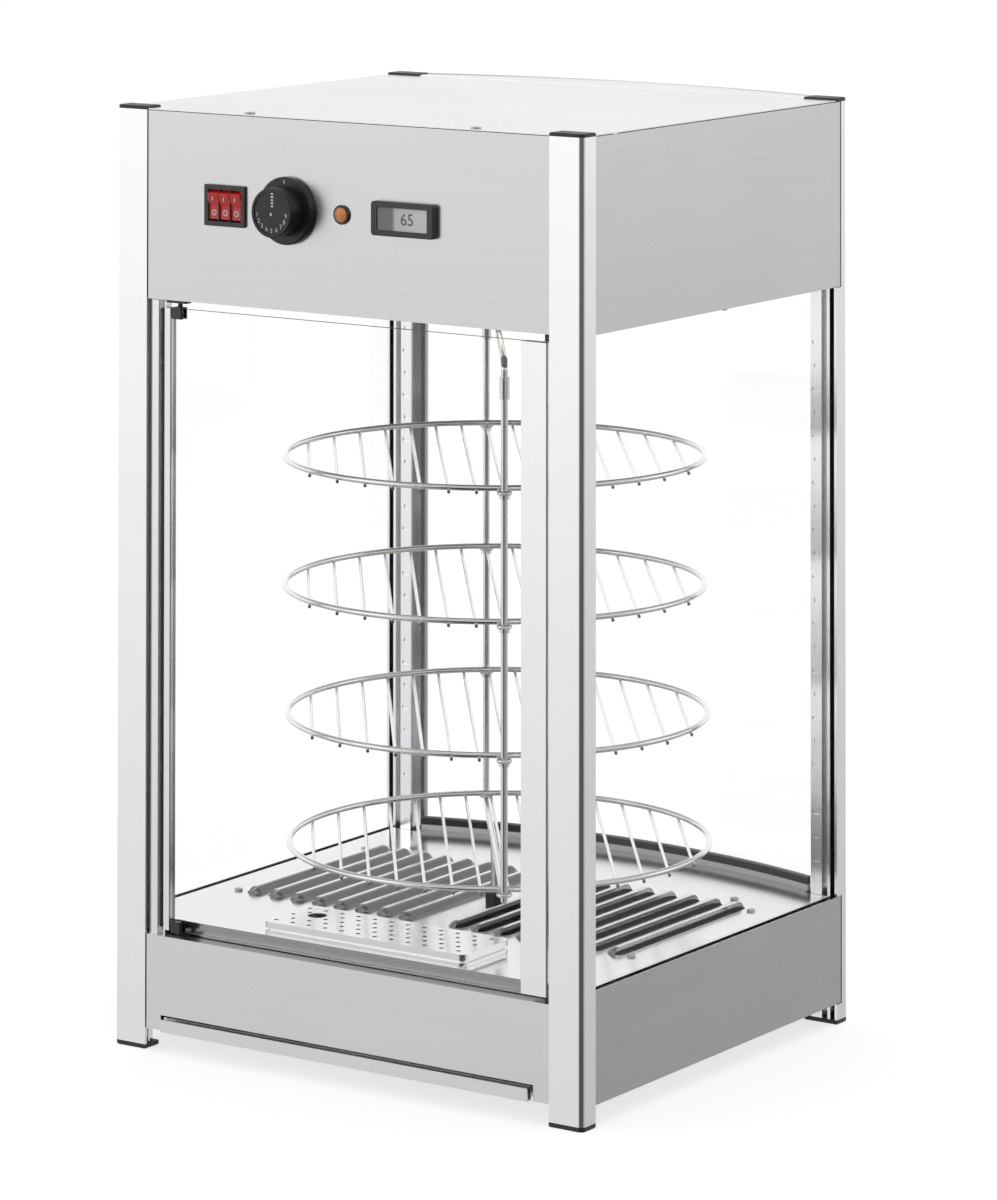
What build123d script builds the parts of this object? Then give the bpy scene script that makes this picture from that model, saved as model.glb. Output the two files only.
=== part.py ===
from build123d import *
import os
from math import asin, cos, degrees, radians, sin, sqrt

# Hot food display case: a glazed counter cabinet with a motor-driven carousel of four wire racks.
# Millimetres. X runs along the front to the right, Y to the back, Z up.
# The origin is the centre of the footprint, on the counter.

# Driving dimensions of the cabinet
WIDTH = 480.0
DEPTH = 420.0
HEIGHT = 802.0
HALF_W = WIDTH / 2
HALF_D = DEPTH / 2
SHEET = 1.0
GAP = 0.5

# Corner post extrusion: u runs inwards from the side, v inwards from the front or back
POST_U = 33.0
POST_V = 19.0
POST_ROUND = 5.0
POST_LIP = 2.5
CHANNEL = 4.5
RIB_U = (7.0, 9.7)
CORE_U = (15.3, 26.5)
CORE_HOLLOW_U = (17.0, 24.8)
CORE_HOLLOW_V = (4.5, 17.2)
GROOVE_FLOOR_V = 6.0
BACK_RIB_U = 31.0
BACK_RIB_V = (7.2, 9.2)
SLOT_DEPTH = 0.8
FOOT_PLATE = 4.0
TOP_CAP_PLATE = 3.0
CAP_PLUG = 14.0

# Levels
BASE_BOTTOM = 18.0
BASE_FRONT_TOP = 98.0
FLOOR_TOP = 110.0
DOOR_BOTTOM = 103.5
DOOR_TOP = 631.0
TOP_BOX_BOTTOM = 638.0
ROOF_TOP = 800.2
ROOF_LAP = 0.9
TOP_BOX_TOP = 798.6

BASE_Z = (BASE_BOTTOM, FLOOR_TOP)
TOP_Z = (TOP_BOX_BOTTOM, TOP_BOX_TOP - 0.1)
TOP_BACK_Z = (TOP_BOX_BOTTOM, ROOF_TOP + ROOF_LAP + 0.6)

# Panels
PANEL_X = HALF_W - 0.5
PANEL_Y = HALF_D - 1.0
OPENING_HALF = HALF_W - POST_U - GAP
SIDE_FRONT_Y = -HALF_D + POST_V + GAP
SIDE_BACK_Y = HALF_D - 11.5
FLANGE = 12.0

# The back bows outwards between its posts, as one arc; the bow is its height over their line
BACK_BOW = 33.0
BOW_RADIUS = (OPENING_HALF**2 + BACK_BOW**2) / (2 * BACK_BOW)
BOW_CENTRE_Y = PANEL_Y + BACK_BOW - BOW_RADIUS

# Glass
GLASS = 4.0
GLASS_BOTTOM = 104.0
GLASS_TOP = 637.5
SIDE_GLASS_X = HALF_W - POST_LIP - 0.25
BACK_GLASS_INSET = 1.75
BACK_RAIL = (5.0, 12.0)

# Floor, louvres and pan
FLOOR_HALF_X = 232.5
FLOOR_FRONT_Y = -195.0
FLOOR_BACK_Y = 198.0
FLOOR_BOW_INSET = BACK_GLASS_INSET + GLASS + 0.15
LOUVRE_FIRST = 27.0
LOUVRE_PITCH = 23.0
LOUVRE_COUNT = 8
LOUVRE_FRONT_Y = -88.0
LOUVRE_BACK_Y = 119.0
LOUVRE_RADIUS = 10.0
LOUVRE_RISE = 5.5
PAN_X = (-96.0, 112.0)
PAN_Y = (-192.5, -124.5)
PAN_HEIGHT = 9.0
PAN_CORNER = 7.0
PAN_STEP = 3.0
PAN_STEP_Z = 3.4
RIM_SHADOW = 2.1
LID_HEIGHT = 1.4
LID_HOLE_R = 2.0
LID_PITCH_X = 17.0
LID_PITCH_Y = 12.0
LID_ROWS = 5
LID_MARGIN = 8.0
FINGER_HOLE = (-67.8, -151.5)
FINGER_HOLE_R = 8.2

# Screws and vents
BACK_SCREW_X = (-190.0, 0.0, 190.0)
FLOOR_SCREWS_RIGHT = ((204.0, -82.0), (204.0, 107.0), (170.0, 135.0))
FLOOR_SCREWS = FLOOR_SCREWS_RIGHT + tuple((-x, y) for x, y in FLOOR_SCREWS_RIGHT)
ROOF_SCREWS = ((-102.0, -203.0), (130.0, -203.0))
SCREW_SHANK = 1.9
SCREW_HOLE = 2.0
SCREW_HEAD = 3.6
SCREW_HEAD_T = 1.5
ROOF_SCREW_HEAD = 4.5
ROOF_SCREW_T = 1.4
VENT_COUNT = 9
VENT_PITCH = 22.0

# Carousel
AXIS_X = 6.5
AXIS_Y = 6.0
ROD_TURN = 36.7
RACK_LEVELS = (496.5, 386.0, 275.5, 165.0)
RACK_SHIFTS = (0.0, 0.0, 2.5, 4.2)
RACK_RADIUS = 184.0
RING_WIRE = 2.5
GRID_WIRE = 1.4
GRID_PITCH = 23.0
GRID_DROP = 0.7 - RING_WIRE - GRID_WIRE
EYE_WIRE = 1.7
GRID_OVERHANG = 2.5
GRID_SIDE_COUNT = 7
ROD_RADIUS = 3.0
ROD_PLACE = 187.6
EYE_CLEAR = 0.2
EYE_RADIUS = ROD_RADIUS + EYE_CLEAR + EYE_WIRE
ROD_TOP = 597.0
ARM_TOP = 617.0
ARM_FLAT = 6.5
BAIL_BEND = 4.0
HUB_RADIUS = 8.0
HUB_BOTTOM = 610.0
HUB_TOP = 633.0
SHAFT_RADIUS = 4.0
PIN_RADIUS = 3.5
RUNNING_CLEARANCE = 0.05

# Door
PIVOT_X = -174.5
PIVOT_Y = -205.0
DOOR_LEFT = -180.4
DOOR_RIGHT = 205.0
GRIP_LEFT = 179.0
HINGE_PIN = 2.1
CLAMP_HEIGHT = 8.7
CLAMP_CAP = 1.2
PIVOT_PLATE = 2.1
JAMB_RIGHT = -183.0
STOP_X = (200.5, 206.0)

# Controls
CONTROL_Z = 722.0
SWITCH_X = -123.0
SWITCH_W = 42.5
SWITCH_H = 35.0
ROCKER_PITCH = 11.8
ROCKER_W = 10.8
ROCKER_REACH = 13.2
ROCKER_PIVOT_Y = -204.0
ROCKER_TILT = 10.0
KNOB_X = -57.3
KNOB_SKIRT_R = 28.5
KNOB_BODY_R = 21.0
KNOB_SKIRT_T = 5.5
KNOB_DEPTH = 24.0
SPINDLE_R = 3.0
LAMP_X = -1.3
DISPLAY_X = 63.5
DISPLAY_W = 64.0
DISPLAY_H = 28.5
DISPLAY_RIM = 6.5
DISPLAY_RIM_Z = 4.6
DISPLAY_PROUD = 6.0

# Crumb tray
TRAY_HALF_X = 188.0
TRAY_BOTTOM = 20.2
TRAY_TOP = 29.4
TRAY_BACK_Y = 150.0


def block(x, y, z):
    """A box from three (low, high) pairs."""
    size = Box(x[1] - x[0], y[1] - y[0], z[1] - z[0])
    return Pos((x[0] + x[1]) / 2, (y[0] + y[1]) / 2, (z[0] + z[1]) / 2) * size


def rod(start, end, radius):
    """A round bar between two points."""
    direction = Vector(*end) - Vector(*start)
    place = Plane(origin=start, z_dir=direction)
    return place * Cylinder(radius, direction.length, align=(Align.CENTER, Align.CENTER, Align.MIN))


def upright(x, y, z, radius):
    """A vertical cylinder at x, y between two levels."""
    return Pos(x, y, (z[0] + z[1]) / 2) * Cylinder(radius, z[1] - z[0])


def along_y(x, z, y, radius):
    """A cylinder along Y at x, z between two depths."""
    return Pos(x, (y[0] + y[1]) / 2, z) * Rot(90, 0, 0) * Cylinder(radius, y[1] - y[0])


def patch(u, v):
    """A rectangle in a post's section."""
    return Pos((u[0] + u[1]) / 2, (v[0] + v[1]) / 2) * Rectangle(u[1] - u[0], v[1] - v[0])


def bent_tube(points, bend, radius):
    """A round bar along a line of points, with each corner bent to one radius."""
    path = FilletPolyline(*points, radius=bend)
    start = Plane(origin=path @ 0, z_dir=path % 0)
    return sweep(start * Circle(radius), path)


def bow_disc(outset, z):
    """A disc whose rim is the back's arc, moved outwards by outset."""
    return Pos(0, BOW_CENTRE_Y, (z[0] + z[1]) / 2) * Cylinder(BOW_RADIUS + outset, z[1] - z[0])


def bow_segment(half_x, front_y, outset, z):
    """A horizontal plate from a straight front edge to the back's arc."""
    return block((-half_x, half_x), (front_y, PANEL_Y + 2 * BACK_BOW), z) & bow_disc(outset, z)


def bow_sheet(half_x, outset, thickness, z):
    """An upright sheet that follows the back's arc; outset places its outer face."""
    inner = bow_disc(outset - thickness, (z[0] - 1, z[1] + 1))
    return bow_segment(half_x, BOW_CENTRE_Y + BOW_RADIUS / 2, outset, z) - inner


def on_back(x, z):
    """A place on the back's outer face, with +Y pointing straight out of it."""
    turn = degrees(asin(x / BOW_RADIUS))
    return Pos(0, BOW_CENTRE_Y, z) * Rot(0, 0, -turn) * Pos(0, BOW_RADIUS, 0)


def mirrored(shape):
    """The same part on the other side of the cabinet."""
    return mirror(shape, about=Plane.YZ)


def inset(span, amount):
    """A (low, high) pair drawn in at both ends."""
    return (span[0] + amount, span[1] - amount)


def group(shapes):
    """Separate solids that share one node."""
    return Compound(children=list(shapes))


# ---- corner posts -----------------------------------------------------------------------------

def post_outline():
    outline = patch((0, POST_U), (0, POST_V))
    corner = outline.vertices().sort_by(lambda p: p.X + p.Y)[0]
    return fillet(corner, POST_ROUND)


def post_section():
    inside = patch((POST_LIP, POST_U + 1), (POST_LIP, POST_V + 1))
    inner_corner = inside.vertices().sort_by(lambda p: p.X + p.Y)[0]
    lips = post_outline() - fillet(inner_corner, POST_ROUND - POST_LIP)
    rib = patch(RIB_U, (POST_LIP - 1, POST_V))
    web = patch((RIB_U[0], CORE_U[1]), (POST_LIP - 1, GROOVE_FLOOR_V))
    core = patch(CORE_U, (POST_LIP - 1, POST_V))
    back_rib = patch((CORE_U[1] - 1, BACK_RIB_U), BACK_RIB_V)
    hollow = patch(CORE_HOLLOW_U, CORE_HOLLOW_V)
    return lips + rib + web + core + back_rib - hollow


def post_places():
    """Moves a part made at the front left corner to each corner."""
    front_left = Pos(-HALF_W, -HALF_D, 0)

    def place(shape, right, back):
        moved = front_left * shape
        if right:
            moved = mirror(moved, about=Plane.YZ)
        if back:
            moved = mirror(moved, about=Plane.XZ)
        return moved

    return place


def shelf_slots(z_low=140.0, z_high=620.0, pitch=20.4):
    """Pressed shelf marks in the inner face of a back post, alternately long and short."""
    slots = []
    middle = (CORE_U[0] + CORE_U[1]) / 2
    count = int((z_high - z_low) / pitch)
    for index in range(count):
        half = (3.6, 2.0)[index % 2]
        z = z_low + index * pitch
        depth = (POST_V - SLOT_DEPTH, POST_V + 1)
        slots.append(block((middle - half, middle + half), depth, (z - 1.6, z + 1.6)))
    return slots


def post(right, back):
    body = extrude(post_section(), amount=HEIGHT - FOOT_PLATE - TOP_CAP_PLATE)
    body = Pos(0, 0, FOOT_PLATE) * body
    if back:
        body -= shelf_slots()
        for z in ((BASE_BOTTOM - GAP, FLOOR_TOP + GAP), (TOP_BOX_BOTTOM - GAP, HEIGHT)):
            body -= block((-1, POST_LIP + 0.1), (HALF_D - SIDE_BACK_Y - GAP, POST_V + 1), z)
    return post_places()(body, right, back)


def end_cap(top):
    thickness = TOP_CAP_PLATE if top else FOOT_PLATE
    plate = extrude(post_outline(), amount=thickness)
    plug_z = (thickness - 0.5, thickness + CAP_PLUG)
    plug = block(inset(CORE_HOLLOW_U, 0.15), inset(CORE_HOLLOW_V, 0.15), plug_z)
    upper = [e for e in plate.edges() if e.center().Z < 0.01]
    cap = chamfer(upper, 0.8) + plug
    if top:
        cap = Pos(0, 0, HEIGHT) * mirror(cap, about=Plane.XY)
    return cap


def end_caps():
    """One cap in each end of each post; the lower ones are the feet."""
    place = post_places()
    corners = [(right, back) for right in (0, 1) for back in (0, 1)]
    return group(place(end_cap(top), *corner) for top in (True, False) for corner in corners)


# ---- sheet metal ------------------------------------------------------------------------------

def notched_plate(half_x, y, z, notch=GAP):
    """A horizontal plate with its corners cut out round the posts."""
    plate = block((-half_x, half_x), y, z)
    for side in (-1, 1):
        for end in (-1, 1):
            x = sorted((side * (HALF_W - POST_U - notch), side * (HALF_W + 5)))
            depth = sorted((end * (HALF_D - POST_V - notch), end * (HALF_D + 5)))
            plate -= block(x, depth, (z[0] - 9, z[1] + 9))
    return plate


def roof():
    """A flat sheet, with a raised lap that fills the bow at the back."""
    sheet = notched_plate(PANEL_X, (-PANEL_Y, FLOOR_BACK_Y), (ROOF_TOP - SHEET, ROOF_TOP))
    lap = (ROOF_TOP - 0.2, ROOF_TOP + ROOF_LAP)
    sheet += bow_segment(OPENING_HALF, FLOOR_BACK_Y - 4, -SHEET - 0.2, lap)
    for x, y in ROOF_SCREWS:
        sheet -= upright(x, y, (ROOF_TOP - 2, ROOF_TOP + 1), SCREW_HOLE)
    return sheet


def framed_panel(z, top_flange=True, bottom_flange=True):
    """A front panel with its edges folded back between the posts."""
    back = -PANEL_Y + FLANGE
    panel = block((-OPENING_HALF, OPENING_HALF), (-PANEL_Y, -PANEL_Y + SHEET), z)
    for side in (-1, 1):
        x = sorted((side * OPENING_HALF, side * (OPENING_HALF - SHEET)))
        panel += block(x, (-PANEL_Y, back), z)
    if top_flange:
        panel += block((-OPENING_HALF, OPENING_HALF), (-PANEL_Y, back), (z[1] - SHEET, z[1]))
    if bottom_flange:
        panel += block((-OPENING_HALF, OPENING_HALF), (-PANEL_Y, back), (z[0], z[0] + SHEET))
    return panel


def control_fascia():
    panel = framed_panel((TOP_BOX_BOTTOM, TOP_BOX_TOP))
    through = (-PANEL_Y - 1, -PANEL_Y + SHEET + 1)
    panel -= block((SWITCH_X - 19.5, SWITCH_X + 19.5), through, (CONTROL_Z - 15.5, CONTROL_Z + 15.5))
    panel -= along_y(KNOB_X, CONTROL_Z, through, 6.0)
    panel -= along_y(LAMP_X, CONTROL_Z, through, 6.2)
    half = DISPLAY_W / 2 - 3
    panel -= block((DISPLAY_X - half, DISPLAY_X + half), through, (CONTROL_Z - 12, CONTROL_Z + 12))
    for x, y in ROOF_SCREWS:
        panel -= upright(x, y, (TOP_BOX_TOP - 5, TOP_BOX_TOP + 1), SCREW_HOLE)
    return panel


def side_panel(z, flange_low):
    """A left skirt: a sheet with a folded top and bottom edge."""
    outer = (-PANEL_X, -PANEL_X + SHEET)
    folded = (-PANEL_X, -PANEL_X + FLANGE)
    depth = (SIDE_FRONT_Y, SIDE_BACK_Y)
    inner_depth = (SIDE_FRONT_Y + 2, HALF_D - POST_V - GAP)
    sheet = block(outer, depth, z)
    if flange_low:
        return sheet + block(folded, inner_depth, (z[0], z[0] + SHEET))
    return sheet + block(folded, inner_depth, (z[1] - SHEET, z[1]))


def back_panel(z, vents):
    """A sheet that follows the back's arc, screwed on in two rows."""
    panel = bow_sheet(OPENING_HALF, 0, SHEET, z)
    for x in BACK_SCREW_X:
        for level in back_screw_levels(z):
            panel -= on_back(x, level) * along_y(0, 0, (-3, 2), SCREW_HOLE)
    if vents:
        for index in range(VENT_COUNT):
            x = (index - (VENT_COUNT - 1) / 2) * VENT_PITCH
            for row in (0, 1):
                low = 40 + row * 45
                panel -= on_back(x, z[0]) * block((-2, 2), (-3, 2), (low, low + 32))
    return panel


def back_screw_levels(z):
    return (z[0] + 9, z[1] - 11)


def base_front_panel():
    panel = framed_panel((BASE_BOTTOM, BASE_FRONT_TOP), bottom_flange=False)
    gap = 1.6
    opening_top = TRAY_TOP + gap
    return panel - block((-TRAY_HALF_X - 3, TRAY_HALF_X + 3), (-PANEL_Y - 1, 0), (0, opening_top))


def base_bottom_plate():
    z = (BASE_BOTTOM, BASE_BOTTOM + SHEET)
    plate = notched_plate(PANEL_X - FLANGE - 1, (-190.0, FLOOR_BACK_Y), z)
    return plate + bow_segment(OPENING_HALF, FLOOR_BACK_Y - 4, -SHEET - 0.3, z)


def ceiling_plate():
    z = (TOP_BOX_BOTTOM + SHEET + 0.2, TOP_BOX_BOTTOM + 2 * SHEET + 0.2)
    plate = notched_plate(SIDE_GLASS_X - GLASS - 0.8, (-PANEL_Y + FLANGE + 0.5, FLOOR_BACK_Y), z)
    plate += bow_segment(OPENING_HALF, FLOOR_BACK_Y - 4, -FLOOR_BOW_INSET, z)
    plate -= upright(AXIS_X, AXIS_Y, (z[0] - 1, z[1] + 1), SHAFT_RADIUS + 2)
    return plate - upright(BULB_X, BULB_Y, (z[0] - 1, z[1] + 1), 4.0)


# ---- floor ------------------------------------------------------------------------------------

def louvre_lines():
    """The centre X of each louvre on the right; the left field is its mirror image."""
    return [LOUVRE_FIRST + LOUVRE_PITCH * index for index in range(LOUVRE_COUNT)]


def capsule(x, radius, z):
    """A round-ended bar along Y."""
    low = LOUVRE_FRONT_Y + LOUVRE_RADIUS
    high = LOUVRE_BACK_Y - LOUVRE_RADIUS
    bar = along_y(x, z, (low, high), radius)
    return bar + Pos(x, low, z) * Sphere(radius) + Pos(x, high, z) * Sphere(radius)


def louvre_slot(x):
    """The opening in the floor under a louvre."""
    low = LOUVRE_FRONT_Y + LOUVRE_RADIUS
    high = LOUVRE_BACK_Y - LOUVRE_RADIUS
    z = (FLOOR_TOP - 5, FLOOR_TOP + 5)
    slot = block((x - 7.5, x + 7.5), (low, high), z)
    return slot + upright(x, low, z, 7.5) + upright(x, high, z, 7.5)


def louvre_hood(x):
    """A pressed hood, closed towards the middle of the floor and open on its outer side."""
    centre_z = FLOOR_TOP + LOUVRE_RISE - LOUVRE_RADIUS
    shell = capsule(x, LOUVRE_RADIUS, centre_z) - capsule(x, LOUVRE_RADIUS - SHEET, centre_z)
    depth = (LOUVRE_FRONT_Y - 5, LOUVRE_BACK_Y + 5)
    above = block((x - 20, x + 2), depth, (FLOOR_TOP - 0.4, FLOOR_TOP + 20))
    return shell & above


def floor_plate():
    z = (FLOOR_TOP - SHEET, FLOOR_TOP)
    plate = notched_plate(FLOOR_HALF_X, (FLOOR_FRONT_Y, PANEL_Y + BACK_BOW), z)
    plate &= bow_disc(-FLOOR_BOW_INSET, (z[0] - 1, z[1] + 1))
    fold_z = (BASE_FRONT_TOP + 0.2, FLOOR_TOP)
    plate += block((-OPENING_HALF, OPENING_HALF), (FLOOR_FRONT_Y, FLOOR_FRONT_Y + SHEET), fold_z)
    for x in louvre_lines():
        slot = louvre_slot(x)
        plate -= slot
        plate -= mirrored(slot)
    for x in louvre_lines():
        hood = louvre_hood(x)
        plate += hood
        plate += mirrored(hood)
    for x, y in FLOOR_SCREWS:
        plate -= upright(x, y, (z[0] - 2, z[1] + 2), SCREW_HOLE)
    return plate


def pan_outline(x, y, radius):
    base = Pos((x[0] + x[1]) / 2, (y[0] + y[1]) / 2)
    return base * RectangleRounded(x[1] - x[0], y[1] - y[0], radius)


def water_pan():
    """A shallow pan whose wall steps in under the lid's rim."""
    low = FLOOR_TOP + 0.1
    foot = extrude(pan_outline(PAN_X, PAN_Y, PAN_CORNER), amount=PAN_STEP_Z)
    wall_x = inset(PAN_X, PAN_STEP)
    wall_y = inset(PAN_Y, PAN_STEP)
    wall = extrude(pan_outline(wall_x, wall_y, PAN_CORNER - PAN_STEP), amount=PAN_HEIGHT)
    inner_x = inset(wall_x, 1)
    inner_y = inset(wall_y, 1)
    cavity = extrude(pan_outline(inner_x, inner_y, PAN_CORNER - PAN_STEP - 1), amount=PAN_HEIGHT)
    return Pos(0, 0, low) * (foot + wall - Pos(0, 0, 1) * cavity)


def lid_holes():
    """Centres of the lid's small holes: rows along X, every second one moved by half a pitch."""
    middle_y = (PAN_Y[0] + PAN_Y[1]) / 2
    holes = []
    for row in range(LID_ROWS):
        y = middle_y + (row - (LID_ROWS - 1) / 2) * LID_PITCH_Y
        x = PAN_X[0] + LID_MARGIN + (row % 2) * LID_PITCH_X / 2
        while x < PAN_X[1] - LID_MARGIN + 1:
            if sqrt((x - FINGER_HOLE[0]) ** 2 + (y - FINGER_HOLE[1]) ** 2) > FINGER_HOLE_R + LID_HOLE_R + 1:
                holes.append((x, y))
            x += LID_PITCH_X
    return holes


def pan_lid():
    """A perforated plate with a turned-down rim that hangs outside the pan's wall."""
    plate_low = FLOOR_TOP + 0.1 + PAN_HEIGHT + 0.1
    rim_low = FLOOR_TOP + 0.1 + PAN_STEP_Z + RIM_SHADOW
    lid = Pos(0, 0, plate_low) * extrude(pan_outline(PAN_X, PAN_Y, PAN_CORNER), amount=LID_HEIGHT)
    rim = extrude(pan_outline(PAN_X, PAN_Y, PAN_CORNER), amount=plate_low - rim_low + 0.2)
    rim -= extrude(pan_outline(inset(PAN_X, 1), inset(PAN_Y, 1), PAN_CORNER - 1), amount=PAN_HEIGHT)
    lid += Pos(0, 0, rim_low) * rim
    through = (plate_low - 2, plate_low + LID_HEIGHT + 2)
    cutters = [upright(x, y, through, LID_HOLE_R) for x, y in lid_holes()]
    cutters.append(upright(*FINGER_HOLE, through, FINGER_HOLE_R))
    return lid - cutters


def back_glass_rail():
    """The rubber rail along the foot of the back glass."""
    z = (FLOOR_TOP + 0.1, FLOOR_TOP + BACK_RAIL[1])
    return bow_sheet(OPENING_HALF - GAP, -BACK_GLASS_INSET - GLASS - 0.1, BACK_RAIL[0], z)


# ---- glass ------------------------------------------------------------------------------------

def side_glass():
    y = HALF_D - 4.0
    return block((-SIDE_GLASS_X, -SIDE_GLASS_X + GLASS), (-y, y), (GLASS_BOTTOM, GLASS_TOP))


def back_glass():
    return bow_sheet(OPENING_HALF - 0.2, -BACK_GLASS_INSET, GLASS, (GLASS_BOTTOM, GLASS_TOP))


# ---- carousel ---------------------------------------------------------------------------------

def across(distance, side, z):
    """A point on the carousel: distance along the rod line, side across it."""
    turn = radians(ROD_TURN)
    x = AXIS_X + distance * sin(turn) + side * cos(turn)
    y = AXIS_Y - distance * cos(turn) + side * sin(turn)
    return (x, y, z)


def wire_rack(shift):
    """A ring with parallel wires welded under it; the middle wire ends in eyes round the rods.

    It is made at the origin with its wires along Y, and its ring's centre line at zero height.
    The ring and its wires stand off the line of the rods by shift."""
    wire_z = GRID_DROP
    wires = []
    for index in range(-GRID_SIDE_COUNT, GRID_SIDE_COUNT + 1):
        side = index * GRID_PITCH
        half = sqrt(RACK_RADIUS**2 - side**2) + GRID_OVERHANG
        if index == 0:
            half = ROD_PLACE - EYE_RADIUS + 0.5 if shift == 0 else ROD_PLACE - sqrt(EYE_RADIUS**2 - shift**2)
        wires.append(rod((side + shift, -half, wire_z), (side + shift, half, wire_z), GRID_WIRE))
    eye = Torus(EYE_RADIUS, EYE_WIRE)
    wires += [Pos(0, end * ROD_PLACE, wire_z) * eye for end in (-1, 1)]
    return Pos(shift, 0, 0) * Torus(RACK_RADIUS - RING_WIRE, RING_WIRE) + wires


def rack(level, shift):
    return Pos(AXIS_X, AXIS_Y, level) * Rot(0, 0, ROD_TURN) * RACK_SHAPES[shift]


def carousel_frame():
    """A bail bent from one rod over the hub, a bottom bar and its centre pin, welded together."""
    bar_z = RACK_LEVELS[-1] + GRID_DROP - EYE_WIRE - ROD_RADIUS - 0.1
    left, right = (
        [across(end * ROD_PLACE, 0, bar_z), across(end * ROD_PLACE, 0, ROD_TOP),
         across(end * (ROD_PLACE - 8), 0, ROD_TOP + 6), across(end * ARM_FLAT, 0, ARM_TOP)]
        for end in (-1, 1)
    )
    frame = bent_tube(left + right[::-1], BAIL_BEND, ROD_RADIUS)
    frame += rod(left[0], right[0], ROD_RADIUS)
    for x, y, _ in (left[0], right[0]):
        frame += Pos(x, y, bar_z) * Sphere(ROD_RADIUS)
        frame += upright(x, y, (ROD_TOP - 26, ROD_TOP - 8), ROD_RADIUS + 1.4)
        for level in RACK_LEVELS[:-1]:
            collar_top = level + GRID_DROP - EYE_WIRE - 0.1
            frame += upright(x, y, (collar_top - 3, collar_top), ROD_RADIUS + 1.5)
    return frame + upright(AXIS_X, AXIS_Y, (FLOOR_TOP + 2, bar_z), PIN_RADIUS)


def drive_hub():
    hub = upright(AXIS_X, AXIS_Y, (HUB_BOTTOM, HUB_TOP), HUB_RADIUS)
    rims = [e for e in hub.edges() if e.geom_type == GeomType.CIRCLE]
    hub = chamfer(rims, 1.2)
    hub -= upright(AXIS_X, AXIS_Y, (HUB_BOTTOM + 12, HUB_TOP + 1), SHAFT_RADIUS + 0.05)
    hub -= rod(across(-HUB_RADIUS - 1, 0, ARM_TOP), across(HUB_RADIUS + 1, 0, ARM_TOP), ROD_RADIUS + 0.2)
    for end in (-1, 1):
        inner = across(end * (ROD_PLACE - 8), 0, ROD_TOP + 6)
        hub -= rod(across(end * ARM_FLAT, 0, ARM_TOP), inner, ROD_RADIUS + 0.2)
    return hub


def drive_shaft():
    return upright(AXIS_X, AXIS_Y, (HUB_BOTTOM + 12.5, MOTOR_BOTTOM + 20), SHAFT_RADIUS)


def axle_bearing():
    body = upright(AXIS_X, AXIS_Y, (FLOOR_TOP + 0.05, FLOOR_TOP + 10), 8.0)
    top = [e for e in body.edges() if e.center().Z > FLOOR_TOP + 9.9]
    body = chamfer(top, 1.2)
    return body - upright(AXIS_X, AXIS_Y, (FLOOR_TOP + 1.5, FLOOR_TOP + 11), PIN_RADIUS + RUNNING_CLEARANCE)


# ---- drive, heat and light --------------------------------------------------------------------

CEILING_TOP = TOP_BOX_BOTTOM + 2 * SHEET + 0.2
MOTOR_BOTTOM = CEILING_TOP + 12.0
BULB_X = 150.0
BULB_Y = 150.0


def gear_motor():
    gearbox = upright(AXIS_X, AXIS_Y, (MOTOR_BOTTOM, MOTOR_BOTTOM + 32), 32)
    can = upright(AXIS_X, AXIS_Y + 4, (MOTOR_BOTTOM + 31.5, MOTOR_BOTTOM + 70), 25)
    terminal_z = (MOTOR_BOTTOM + 36, MOTOR_BOTTOM + 52)
    terminals = block((AXIS_X - 9, AXIS_X + 9), (AXIS_Y + 27, AXIS_Y + 36), terminal_z)
    bore = upright(AXIS_X, AXIS_Y, (MOTOR_BOTTOM - 1, MOTOR_BOTTOM + 22), SHAFT_RADIUS + RUNNING_CLEARANCE)
    return gearbox + can + terminals - bore


def motor_bracket():
    top = (MOTOR_BOTTOM - 2.2, MOTOR_BOTTOM - 0.2)
    x = (AXIS_X - 50, AXIS_X + 50)
    y = (AXIS_Y - 34, AXIS_Y + 34)
    bridge = block(x, y, top)
    for side in (0, 1):
        leg = sorted((x[side], x[side] + (2, -2)[side]))
        foot = sorted((x[side] + (2, -2)[side], x[side] - (14, -14)[side]))
        bridge += block(leg, y, (CEILING_TOP + 0.2, top[1]))
        bridge += block(foot, y, (CEILING_TOP + 0.2, CEILING_TOP + 2.2))
    return bridge - upright(AXIS_X, AXIS_Y, (CEILING_TOP, top[1] + 1), 12)


LAMP_Y = -45.0
LAMP_Z = TOP_BOX_BOTTOM - 10.0
LAMP_HALF = 130.0


def along_x(x, half, radius):
    """A cylinder on the lamp's centre line."""
    return Pos(x, LAMP_Y, LAMP_Z) * Rot(0, 90, 0) * Cylinder(radius, 2 * half)


def chamber_lamp():
    tube = along_x(0, LAMP_HALF - 4, 6.0)
    ends = [along_x(side * (LAMP_HALF - 6), 6, 6.6) for side in (-1, 1)]
    return tube + ends


def lamp_holders():
    holders = []
    for side in (-1, 1):
        x = sorted((side * (LAMP_HALF - 7), side * (LAMP_HALF + 8)))
        holder = block(x, (LAMP_Y - 9, LAMP_Y + 9), (LAMP_Z - 8.5, TOP_BOX_BOTTOM + SHEET))
        holders.append(holder - along_x(side * (LAMP_HALF - 8), 9, 6.8))
    return group(holders)


HEATER_Z = 84.0
HEATER_R = 4.0


def heating_element():
    """A tubular heater bent into four runs under the louvres."""
    plan = (
        (-205, 60), (150, 60), (150, 0), (-150, 0),
        (-150, -60), (150, -60), (150, -110), (-205, -110),
    )
    return bent_tube([(x, y, HEATER_Z) for x, y in plan], 24, HEATER_R)


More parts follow.
